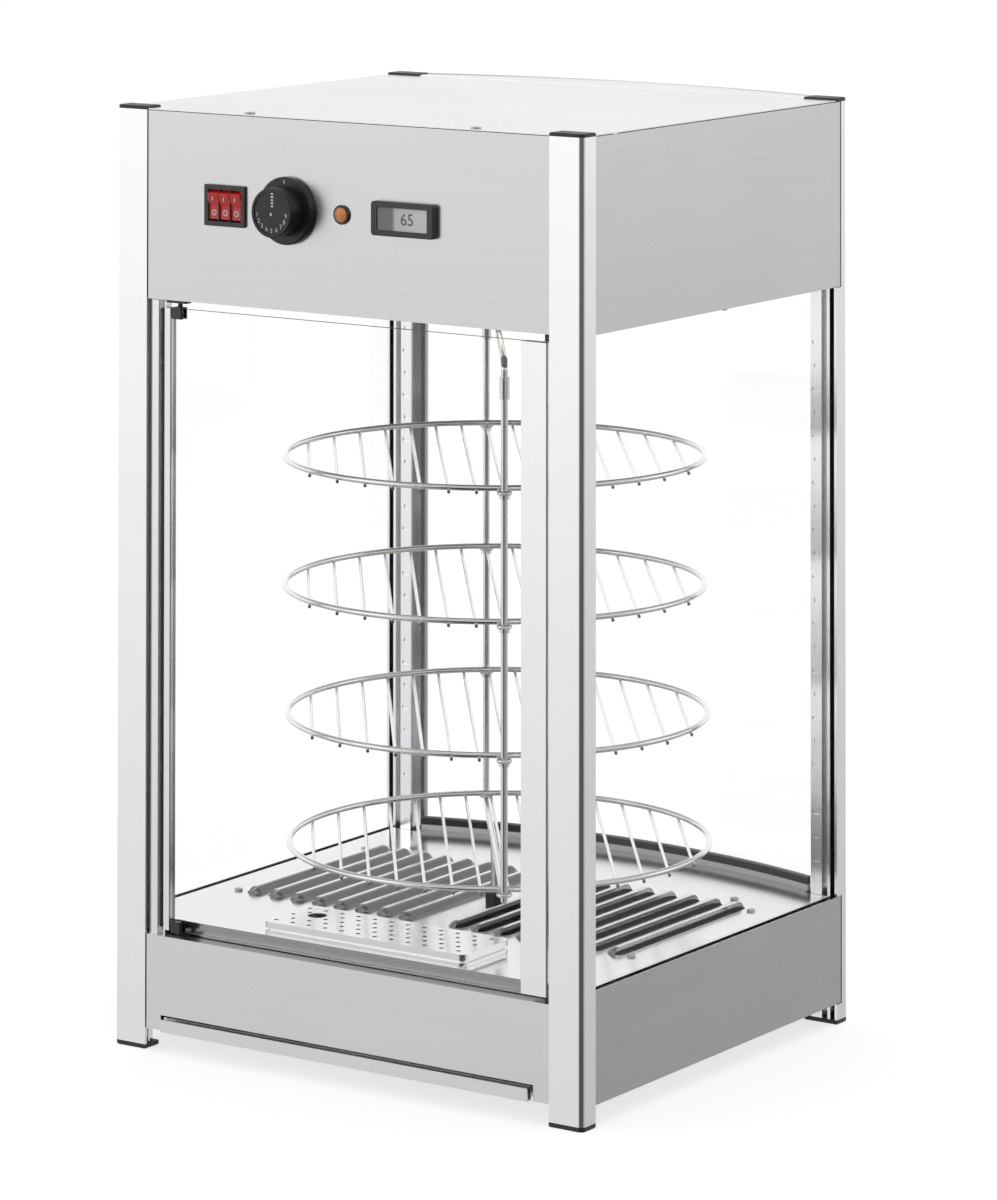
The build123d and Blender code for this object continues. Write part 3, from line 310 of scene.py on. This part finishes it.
def clear_sheet(name):
    """A shader for a thin clear sheet that keeps the background white, and its surface."""
    s = Shader(name)
    haze = s.noise(6.0, detail=4.0)
    smear = s.noise((3.0, 3.0, 30.0), detail=4.0)
    fresnel = s.node("ShaderNodeFresnel", IOR=1.5)
    clear = s.node("ShaderNodeBsdfTransparent", Color=(0.996, 0.999, 0.998, 1))
    shine = s.node("ShaderNodeBsdfGlossy", Color=(1, 1, 1, 1))
    s.set(shine.inputs["Roughness"], s.spread(smear, 0.0, 0.03))
    sheet = s.tree.nodes.new("ShaderNodeMixShader")
    amount = s.math("MULTIPLY", fresnel.outputs[0], s.spread(haze, 0.04, 0.07))
    s.set(sheet.inputs[0], amount)
    s.set(sheet.inputs[1], clear.outputs[0])
    s.set(sheet.inputs[2], shine.outputs[0])
    return s, sheet


def sheet_glass(name, face_axis):
    """Clear glass whose faces look along one axis, with dark ground edges all round.

    The edges are told from the faces by their normals."""
    s, sheet = clear_sheet(name)
    normal = s.tree.nodes.new("ShaderNodeSeparateXYZ")
    s.set(normal.inputs[0], s.coords.outputs["Normal"])
    facing = s.math("ABSOLUTE", normal.outputs["XYZ".index(face_axis)])
    is_edge = s.math("LESS_THAN", facing, 0.6)
    grain = s.noise(900.0, detail=2.0)
    ground = s.node("ShaderNodeBsdfPrincipled", Roughness=0.25)
    s.set(ground.inputs["Base Color"], s.mix(grain, GLASS_EDGE, tuple(c * 1.5 for c in GLASS_EDGE)))
    ground.inputs["Transmission Weight"].default_value = 0.35
    both = s.tree.nodes.new("ShaderNodeMixShader")
    s.set(both.inputs[0], is_edge)
    s.set(both.inputs[1], sheet.outputs[0])
    s.set(both.inputs[2], ground.outputs[0])
    s.set(s.out.inputs["Surface"], both.outputs[0])
    return s.material


def red_rocker(name):
    """Translucent red plastic over a small lamp."""
    s = Shader(name)
    glow = s.noise(260.0, detail=2.0)
    colour = s.mix(glow, (0.38, 0.006, 0.006), (0.60, 0.02, 0.015))
    s.principled(
        Base_Color=colour,
        Roughness=0.22,
        Subsurface_Weight=0.25,
        Subsurface_Radius=(0.004, 0.0006, 0.0004),
        Emission_Color=(0.9, 0.03, 0.02),
        Emission_Strength=0.10,
        Coat_Weight=0.4,
    )
    return s.material


def amber_lens(name):
    """A faceted amber lens over a neon lamp."""
    s = Shader(name)
    facets = s.node("ShaderNodeTexVoronoi", Vector=s.scaled((700.0,) * 3), Scale=1.0)
    colour = s.ramp(facets.outputs["Distance"], [(0.0, (0.85, 0.36, 0.13)), (0.8, (0.55, 0.17, 0.05))])
    s.principled(
        Base_Color=colour,
        Roughness=0.25,
        Subsurface_Weight=0.2,
        Subsurface_Radius=(0.003, 0.001, 0.0005),
        Emission_Color=(0.95, 0.36, 0.10),
        Emission_Strength=0.12,
        Normal=s.bump(facets.outputs["Distance"], 0.5, 0.0004),
    )
    return s.material


def liquid_crystal(name):
    """Grey liquid crystal under a clear window: a darker third, then a pale field of painted reflection."""
    s = Shader(name)
    dots = s.noise(2200.0, detail=1.0)
    place = s.tree.nodes.new("ShaderNodeSeparateXYZ")
    s.set(place.inputs[0], s.coords.outputs["Generated"])
    # Painted reflection: the pale field over the right two thirds stands for light mirrored in the window;
    # the darker third is the crystal's own grey.
    painted_reflection_stops = [(0.30, (0.20, 0.21, 0.21)), (0.36, (0.66, 0.68, 0.67)), (0.92, (0.78, 0.80, 0.79))]
    base = s.ramp(place.outputs["X"], painted_reflection_stops)
    colour = s.mix(s.math("MULTIPLY", dots, 0.12), base, (0.1, 0.11, 0.11))
    s.principled(Base_Color=colour, Roughness=0.16, Coat_Weight=0.1, Coat_Roughness=0.04)
    return s.material


def frosted_tube(name):
    s = Shader(name)
    grain = s.noise(700.0, detail=2.0)
    s.principled(
        Base_Color=(0.92, 0.92, 0.90),
        Roughness=s.spread(grain, 0.35, 0.5),
        Transmission_Weight=0.3,
        Emission_Color=(1.0, 0.96, 0.88),
        Emission_Strength=0.6,
    )
    return s.material


def print_ink(name, tone=0.75):
    s = Shader(name)
    wear = s.noise(1800.0, detail=3.0)
    s.principled(Base_Color=s.mix(wear, grey(tone * 0.8), grey(tone)), Roughness=0.5)
    return s.material


def bristle(name):
    s = Shader(name)
    strand = s.noise((3000.0, 300.0, 3000.0), detail=2.0)
    s.principled(Base_Color=s.mix(strand, grey(0.015), grey(0.09)), Roughness=0.75, Sheen_Weight=0.3)
    return s.material


def painted_case(name, tone=0.07):
    s = Shader(name)
    orange_peel = s.noise(420.0, detail=2.0)
    s.principled(
        Base_Color=s.mix(s.noise(25.0), grey(tone), grey(tone * 1.3)),
        Roughness=0.38,
        Normal=s.bump(orange_peel, 0.3, 0.0002),
    )
    return s.material


MATERIALS = {
    "front_steel": brushed_steel("front_steel", "X", tone=0.64, rough=0.26),
    "base_steel": brushed_steel("base_steel", "X", tone=0.70, rough=0.26),
    "side_steel": brushed_steel("side_steel", "Y", tone=0.61, rough=0.24),
    # Painted shade: the base sides are the same brushed steel as the upper sides, set darker to stand for
    # the shade low on the case.
    "base_side_shaded_steel": brushed_steel("base_side_shaded_steel", "Y", tone=0.47, rough=0.24),
    "roof_steel": brushed_steel("roof_steel", "X", tone=0.78, rough=0.26, streak=0.03),
    "floor_steel": brushed_steel("floor_steel", "Y", tone=0.73, rough=0.15, streak=0.03, underside_shade=0.03),
    "pan_steel": brushed_steel("pan_steel", "X", tone=0.74, rough=0.16, streak=0.03),
    "tray_steel": brushed_steel("tray_steel", "X", tone=0.74, rough=0.26),
    "aluminium": drawn_aluminium("aluminium"),
    "jamb_metal": drawn_aluminium("jamb_metal", tone=0.82, rough=0.24),
    "wire": bright_wire("wire"),
    "zinc": plated_steel("zinc"),
    "screw_zinc": plated_steel("screw_zinc", tone=0.5),
    "heater": heated_sheath("heater"),
    "copper": copper("copper"),
    "black_cap": moulded("black_cap", grey(0.022)),
    "black_gloss": moulded("black_gloss", grey(0.018), rough=0.24, grain_depth=0.00002, coat=0.2),
    "bezel": moulded("bezel", grey(0.045), rough=0.42),
    "knob": moulded("knob", (0.012, 0.013, 0.015), rough=0.34),
    "rail_rubber": rail_section("rail_rubber"),
    "cord": soft_rubber("cord", tone=0.02),
    "side_glass": sheet_glass("side_glass", "X"),
    "front_glass": sheet_glass("front_glass", "Y"),
    "red": red_rocker("red"),
    "amber": amber_lens("amber"),
    "display": liquid_crystal("display"),
    "tube": frosted_tube("tube"),
    "ink": print_ink("ink"),
    "pile": bristle("pile"),
    "segment": print_ink("segment", tone=0.16),
    "motor": painted_case("motor"),
}

NODE_MATERIAL = {
    "aluminium": "post_front_left post_front_right post_back_left post_back_right door_grip",
    "jamb_metal": "hinge_jamb",
    "black_cap": "post_end_caps door_stops axle_bearing lamp_holders thermostat_body cord_gland drive_hub",
    "roof_steel": "roof_panel",
    "front_steel": "control_fascia top_back_panel base_back_panel",
    "base_steel": "base_front_panel",
    "side_steel": "top_side_left top_side_right",
    "base_side_shaded_steel": "base_side_left base_side_right",
    "zinc": "ceiling_plate base_bottom_plate motor_bracket heater_clips tray_runners",
    "floor_steel": "floor_plate",
    "pan_steel": "water_pan pan_lid",
    "side_glass": "side_glass_left side_glass_right",
    "front_glass": "back_glass door_glass",
    "rail_rubber": "back_glass_rail",
    "pile": "brush_seal",
    "black_gloss": "pivot_plates hinge_clamps indicator_bezel",
    "motor": "gear_motor",
    "tube": "chamber_lamp",
    "heater": "heating_element",
    "copper": "thermostat_capillary",
    "cord": "power_cord",
    "screw_zinc": "screws",
    "bezel": "switch_bezel thermometer_bezel",
    "amber": "indicator_lens",
    "display": "thermometer_window",
    "wire": "drive_shaft carousel_frame rack_1 rack_2 rack_3 rack_4",
    "knob": "thermostat_knob",
    "red": "rocker_left rocker_middle rocker_right",
    "tray_steel": "crumb_tray",
}


def dress(node, material):
    """Gives a CAD node its material."""
    slots = NODES[node].data.materials
    slots.clear()
    slots.append(MATERIALS[material])


SHARP_ANGLE = 50


def soften(node, width, segments=2):
    """Rounds a CAD node's sharp edges a little, so that they catch the light."""
    bevel = NODES[node].modifiers.new("soften", "BEVEL")
    bevel.width = width
    bevel.segments = segments
    bevel.limit_method = "ANGLE"
    bevel.angle_limit = math.radians(SHARP_ANGLE)
    bevel.harden_normals = True
    bevel.use_clamp_overlap = True


for material_name, node_names in NODE_MATERIAL.items():
    for node_name in node_names.split():
        dress(node_name, material_name)


SOFT_EDGES = {
    0.35 * MM: "control_fascia base_front_panel crumb_tray top_side_left top_side_right",
    0.25 * MM: "water_pan door_grip",
}
for edge_width, node_names in SOFT_EDGES.items():
    for node_name in node_names.split():
        soften(node_name, edge_width)


# ---- mesh helpers -----------------------------------------------------------------------------

def piece_from(name, mesh_builder, material, body):
    """Makes a named piece from a bmesh, in place, and lets it ride on a body."""
    mesh = bpy.data.meshes.new(name)
    mesh_builder.to_mesh(mesh)
    mesh_builder.free()
    piece = bpy.data.objects.new(name, mesh)
    bpy.context.scene.collection.objects.link(piece)
    piece.data.materials.append(MATERIALS[material])
    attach(piece, body)
    return piece


# ---- details ------------------------------------------------------------------------------------

UPRIGHT = Matrix.Rotation(math.radians(90), 4, "X")
PRINT_THICK = 0.06 * MM

# Places on the controls, from their CAD fronts
KNOB_DISH = 0.72 * MM
SKIRT_FACE = 18.42 * MM
NUMERAL_RING = 15.0 * MM
NUMERAL_FIRST = 262
NUMERAL_STEP = 20.5
NUMERAL_COUNT = 9
POINTER_HEIGHT = 24.6 * MM
ROCKER_MARK = 6.4 * MM
RIM_RADIUS = 6.8 * MM
RIM_TUBE = 0.9 * MM
HAIR_PITCH = 0.75 * MM
HAIR_HALF = 0.28 * MM


def text_outline(builder, text, size, place):
    """Adds flat figures to a bmesh, upright and facing the front, centred on a place."""
    curve = bpy.data.curves.new("figures", "FONT")
    curve.body = text
    curve.size = size
    curve.align_x = "CENTER"
    curve.align_y = "CENTER"
    curve.resolution_u = 3
    holder = bpy.data.objects.new("figures", curve)
    mesh = holder.to_mesh()
    flat = bmesh.new()
    flat.from_mesh(mesh)
    holder.to_mesh_clear()
    bmesh.ops.transform(flat, matrix=Matrix.Translation(place) @ UPRIGHT, verts=flat.verts)
    copy = bpy.data.meshes.new("figures")
    flat.to_mesh(copy)
    flat.free()
    builder.from_mesh(copy)
    bpy.data.meshes.remove(copy)
    bpy.data.objects.remove(holder)


def printed_bar(builder, centre, width, height):
    """A thin printed mark with rounded ends that faces the front."""
    radius = min(width, height) / 2
    corners = []
    for side_x, side_z, start in ((1, 1, 0), (-1, 1, 90), (-1, -1, 180), (1, -1, 270)):
        for step in range(4):
            angle = math.radians(start + step * 30)
            x = side_x * (width / 2 - radius) + radius * math.cos(angle)
            z = side_z * (height / 2 - radius) + radius * math.sin(angle)
            corners.append(Vector((x, 0, z)))
    verts = [builder.verts.new(corner + Vector(centre)) for corner in corners]
    front = bmesh.ops.contextual_create(builder, geom=verts)["faces"]
    thick = bmesh.ops.extrude_face_region(builder, geom=front)["geom"]
    moved = [v for v in thick if isinstance(v, bmesh.types.BMVert)]
    bmesh.ops.translate(builder, verts=moved, vec=(0, PRINT_THICK, 0))


def node_span(node):
    """A CAD node's middle and its low and high corners, in metres."""
    low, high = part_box(node)
    low, high = Vector(low), Vector(high)
    return (low + high) / 2, low, high


def knob_print():
    """White figures and marks on the knob's face and the pointer on its skirt."""
    centre, low, _ = node_span("thermostat_knob")
    dish = low.y + KNOB_DISH
    b = bmesh.new()
    for step in range(5):
        wide = (2.6, 3.1)[step % 2] * MM
        printed_bar(b, (centre.x + 0.6 * MM, dish, centre.z + (5.6 + 2.6 * step) * MM), wide, 1.7 * MM)
    printed_bar(b, (centre.x - 0.6 * MM, dish, centre.z - 1.2 * MM), 2.0 * MM, 2.8 * MM)
    for step in range(NUMERAL_COUNT):
        angle = math.radians(NUMERAL_FIRST - step * NUMERAL_STEP)
        x = centre.x + NUMERAL_RING * math.sin(angle)
        z = centre.z + NUMERAL_RING * math.cos(angle)
        text_outline(b, str(step + 1), 5.6 * MM, (x, dish - 0.02 * MM, z))
    printed_bar(b, (centre.x, low.y + SKIRT_FACE, centre.z + POINTER_HEIGHT), 0.9 * MM, 4.0 * MM)
    piece_from("knob_print", b, "ink", "knob")


def rocker_marks():
    """The mark for on above and the mark for off below, on each rocker."""
    for side in ("left", "middle", "right"):
        centre, _, _ = node_span("rocker_" + side)
        b = bmesh.new()
        printed_bar(b, rocker_face(side, centre.z + ROCKER_MARK), 1.3 * MM, 5.2 * MM)
        ring(b, rocker_face(side, centre.z - ROCKER_MARK), 2.6 * MM, 1.5 * MM)
        piece_from("rocker_marks_" + side, b, "ink", "switch_" + side)


def ring(builder, centre, outer, inner):
    """A flat printed ring that faces the front."""
    count = 20
    loops = []
    for radius in (outer, inner):
        loops.append([
            builder.verts.new((
                centre[0] + radius * math.cos(math.tau * step / count),
                centre[1],
                centre[2] + radius * math.sin(math.tau * step / count),
            ))
            for step in range(count)
        ])
    for step in range(count):
        after = (step + 1) % count
        builder.faces.new((loops[0][step], loops[0][after], loops[1][after], loops[1][step]))


def rocker_face(side, z):
    """The point of a rocker's front surface at its middle and a level, found on the CAD mesh."""
    node = NODES["rocker_" + side]
    centre, low, _ = node_span("rocker_" + side)
    inverse = node.matrix_world.inverted()
    start = inverse @ Vector((centre.x, low.y - 0.02, z))
    way = inverse.to_3x3() @ Vector((0, 1, 0))
    hit_place = node.matrix_world @ node.ray_cast(start, way)[1]
    return (centre.x, hit_place.y - 0.25 * MM, z)


def display_figures():
    """A generic reading on the thermometer's window."""
    centre, low, _ = node_span("thermometer_window")
    b = bmesh.new()
    text_outline(b, "65", 14.0 * MM, (centre.x + 5.0 * MM, low.y - 0.15 * MM, centre.z))
    piece_from("display_figures", b, "segment", "case")


def lens_rim():
    """A domed dark rim round the indicator lens."""
    centre, low, _ = node_span("indicator_bezel")
    b = bmesh.new()
    count = 48
    tube = 10
    loops = []
    for step in range(count):
        angle = math.tau * step / count
        loop = []
        for turn in range(tube):
            around = math.tau * turn / tube
            radius = RIM_RADIUS + RIM_TUBE * math.cos(around)
            x = centre.x + radius * math.cos(angle)
            y = low.y + 1.1 * MM + RIM_TUBE * math.sin(around)
            z = centre.z + radius * math.sin(angle)
            loop.append(b.verts.new((x, y, z)))
        loops.append(loop)
    for step in range(count):
        one, two = loops[step], loops[(step + 1) % count]
        for turn in range(tube):
            after = (turn + 1) % tube
            b.faces.new((one[turn], one[after], two[after], two[turn]))
    piece = piece_from("indicator_rim", b, "black_gloss", "case")
    for face in piece.data.polygons:
        face.use_smooth = True


def seal_bristles():
    """The brush seal as single hairs of uneven length, which stands for its plain CAD strip."""
    centre, low, high = node_span("brush_seal")
    rng = random.Random(11)
    b = bmesh.new()
    z = low.z + 1.0 * MM
    corners = ((-HAIR_HALF, 0), (HAIR_HALF, -HAIR_HALF), (HAIR_HALF, HAIR_HALF))
    reach = high.x - low.x
    while z < high.z - 1.0 * MM:
        for row in range(2):
            y = centre.y + (row - 0.5) * 1.1 * MM + rng.uniform(-0.3, 0.3) * MM
            tip = low.x + reach * rng.uniform(0.78, 0.99)
            drop = rng.uniform(-0.6, 0.6) * MM
            near = [b.verts.new((low.x, y + dy, z + dz)) for dy, dz in corners]
            point = b.verts.new((tip, y, z + drop))
            for first, second in ((0, 1), (1, 2), (2, 0)):
                b.faces.new((near[first], near[second], point))
        z += HAIR_PITCH
    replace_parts(piece_from("seal_bristles", b, "pile", "case"), "brush_seal")


knob_print()
rocker_marks()
display_figures()
lens_rim()
seal_bristles()

# ---- stage, light and camera --------------------------------------------------------------------

def stage_floor():
    """A pale floor that keeps a soft contact shadow; polished metal sees the studio, not the floor."""
    mesh = bpy.data.meshes.new("stage_floor")
    b = bmesh.new()
    bmesh.ops.create_grid(b, x_segments=1, y_segments=1, size=60.0)
    b.to_mesh(mesh)
    b.free()
    floor = bpy.data.objects.new("stage_floor", mesh)
    floor.visible_glossy = False
    bpy.context.scene.collection.objects.link(floor)
    s = Shader("stage_white")
    cloud = s.noise(0.5, detail=1.0)
    path = s.tree.nodes.new("ShaderNodeLightPath")
    diffuse = s.node("ShaderNodeBsdfDiffuse", Color=(0.50, 0.50, 0.50, 1))
    glow = s.node("ShaderNodeEmission", Color=(1, 1, 1, 1))
    lift = s.spread(cloud, 0.68, 0.70)
    s.set(glow.inputs["Strength"], s.math("MULTIPLY", lift, path.outputs["Is Camera Ray"]))
    total = s.tree.nodes.new("ShaderNodeAddShader")
    s.set(total.inputs[0], diffuse.outputs[0])
    s.set(total.inputs[1], glow.outputs[0])
    s.set(s.out.inputs["Surface"], total.outputs[0])
    floor.data.materials.append(s.material)


def softbox(name, place, target, size, power, tone=(1, 1, 1)):
    light = bpy.data.lights.new(name, "AREA")
    light.shape = "RECTANGLE"
    light.size, light.size_y = size
    light.energy = power
    light.color = tone
    lamp = bpy.data.objects.new(name, light)
    lamp.location = place
    lamp.rotation_euler = (Vector(target) - Vector(place)).to_track_quat("-Z", "Y").to_euler()
    bpy.context.scene.collection.objects.link(lamp)
    return lamp


def studio_world():
    """White to the camera; to the metal, bright all round except for a dark band low at the front right."""
    world = bpy.data.worlds.new("studio")
    world.use_nodes = True
    tree = world.node_tree
    tree.nodes.clear()
    coords = tree.nodes.new("ShaderNodeTexCoord")
    split = tree.nodes.new("ShaderNodeSeparateXYZ")
    tree.links.new(coords.outputs["Generated"], split.inputs[0])

    def maths(operation, first, second=0.0, third=0.0):
        made = tree.nodes.new("ShaderNodeMath")
        made.operation = operation
        for socket, value in zip(made.inputs, (first, second, third)):
            if isinstance(value, bpy.types.NodeSocket):
                tree.links.new(value, socket)
            else:
                socket.default_value = value
        return made.outputs[0]

    def ramp(source, stops):
        made = tree.nodes.new("ShaderNodeValToRGB")
        made.color_ramp.interpolation = "EASE"
        elements = made.color_ramp.elements
        while len(elements) < len(stops):
            elements.new(0.5)
        for element, (place, value) in zip(elements, stops):
            element.position = place
            element.color = (value, value, value, 1)
        tree.links.new(source, made.inputs["Fac"])
        return made.outputs["Color"]

    back = maths("MULTIPLY", split.outputs["Y"], -1.0)
    azimuth = maths("ARCTAN2", split.outputs["X"], back)
    turn = maths("MULTIPLY_ADD", azimuth, 1 / math.tau, 0.5)
    around = ramp(turn, WORLD_RING)
    height = maths("MULTIPLY_ADD", split.outputs["Z"], 0.5, 0.5)
    up = ramp(height, WORLD_HEIGHT)
    overhead = ramp(height, OVERHEAD)
    even = tree.nodes.new("ShaderNodeMix")
    even.data_type = "RGBA"
    tree.links.new(overhead, even.inputs[0])
    tree.links.new(around, even.inputs[6])
    even.inputs[7].default_value = (1, 1, 1, 1)
    blend = tree.nodes.new("ShaderNodeMix")
    blend.data_type = "RGBA"
    blend.blend_type = "MULTIPLY"
    blend.inputs[0].default_value = 1.0
    tree.links.new(even.outputs[2], blend.inputs[6])
    tree.links.new(up, blend.inputs[7])
    studio = tree.nodes.new("ShaderNodeBackground")
    studio.inputs["Strength"].default_value = 1.0
    tree.links.new(blend.outputs[2], studio.inputs["Color"])
    seen = tree.nodes.new("ShaderNodeBackground")
    seen.inputs["Color"].default_value = (1, 1, 1, 1)
    seen.inputs["Strength"].default_value = 1.0
    path = tree.nodes.new("ShaderNodeLightPath")
    pick = tree.nodes.new("ShaderNodeMixShader")
    tree.links.new(path.outputs["Is Camera Ray"], pick.inputs[0])
    tree.links.new(studio.outputs[0], pick.inputs[1])
    tree.links.new(seen.outputs[0], pick.inputs[2])
    out = tree.nodes.new("ShaderNodeOutputWorld")
    tree.links.new(pick.outputs[0], out.inputs[0])
    bpy.context.scene.world = world


def ring_place(degrees):
    """Where an azimuth, counted from the front towards the right, falls on the world's ramp."""
    return (degrees + 180.0) / 360.0


WORLD_RING = [
    (ring_place(-180), 1.05),
    (ring_place(-110), 1.05),
    (ring_place(-45), 1.06),
    (ring_place(-20), 1.04),
    (ring_place(-2), 0.30),
    (ring_place(10), 0.10),
    (ring_place(70), 0.10),
    (ring_place(90), 0.55),
    (ring_place(125), 0.80),
    (ring_place(150), 0.80),
    (ring_place(180), 1.05),
]
WORLD_HEIGHT = [
    (0.0, 0.40), (0.36, 0.66), (0.38, 0.72), (0.456, 1.0),
    (0.50, 1.10), (0.62, 1.12), (0.76, 0.45), (1.0, 0.75),
]
OVERHEAD = [(0.0, 0.0), (0.535, 0.0), (0.60, 1.0), (1.0, 1.0)]

# A view camera: a nearly level lens above the case, shifted down so that its uprights stay upright.
CAMERA_AZIMUTH = 34.306
CAMERA_ELEVATION = -1.413
CAMERA_ROLL = 0.046
CAMERA_PLACE = (2.5882, -3.7737, 1.2070)
LENS = 157.92
SHIFT = -0.91382
SENSOR = 36.0


def photo_camera():
    data = bpy.data.cameras.new("photo_camera")
    data.sensor_width = SENSOR
    data.lens = LENS
    data.clip_end = 100.0
    camera = bpy.data.objects.new("photo_camera", data)
    a, e = math.radians(CAMERA_AZIMUTH), math.radians(CAMERA_ELEVATION)
    back = Vector((math.sin(a) * math.cos(e), -math.cos(a) * math.cos(e), math.sin(e)))
    turn = (-back).to_track_quat("-Z", "Y").to_matrix()
    turn = turn @ Matrix.Rotation(math.radians(CAMERA_ROLL), 3, "Z")
    camera.location = CAMERA_PLACE
    camera.rotation_euler = turn.to_euler()
    bpy.context.scene.collection.objects.link(camera)
    bpy.context.scene.camera = camera
    viewpoint = bpy.data.objects.new("photo_viewpoint", None)
    viewpoint.location = CAMERA_PLACE
    bpy.context.scene.collection.objects.link(viewpoint)
    lens_shift(data, camera, viewpoint)


def lens_shift(data, camera, viewpoint):
    """Shifts the lens only while the camera stands at its own viewpoint."""
    driver = data.driver_add("shift_y").driver
    driver.type = "SCRIPTED"
    away = driver.variables.new()
    away.name = "away"
    away.type = "LOC_DIFF"
    away.targets[0].id = camera
    away.targets[1].id = viewpoint
    driver.expression = f"{SHIFT} if away < 0.01 else 0.0"


stage_floor()
studio_world()
softbox("key_left", (-2.6, -3.4, 2.2), (0, 0, 0.4), (2.2, 2.6), 10)
softbox("top", (0.0, 0.2, 3.2), (0, 0, 0.4), (3.0, 3.0), 10)
softbox("back_right", (2.8, 2.6, 1.6), (0, 0, 0.4), (1.6, 2.4), 5)
photo_camera()
view = bpy.context.scene.view_settings
view.view_transform = "Standard"
view.look = "None"
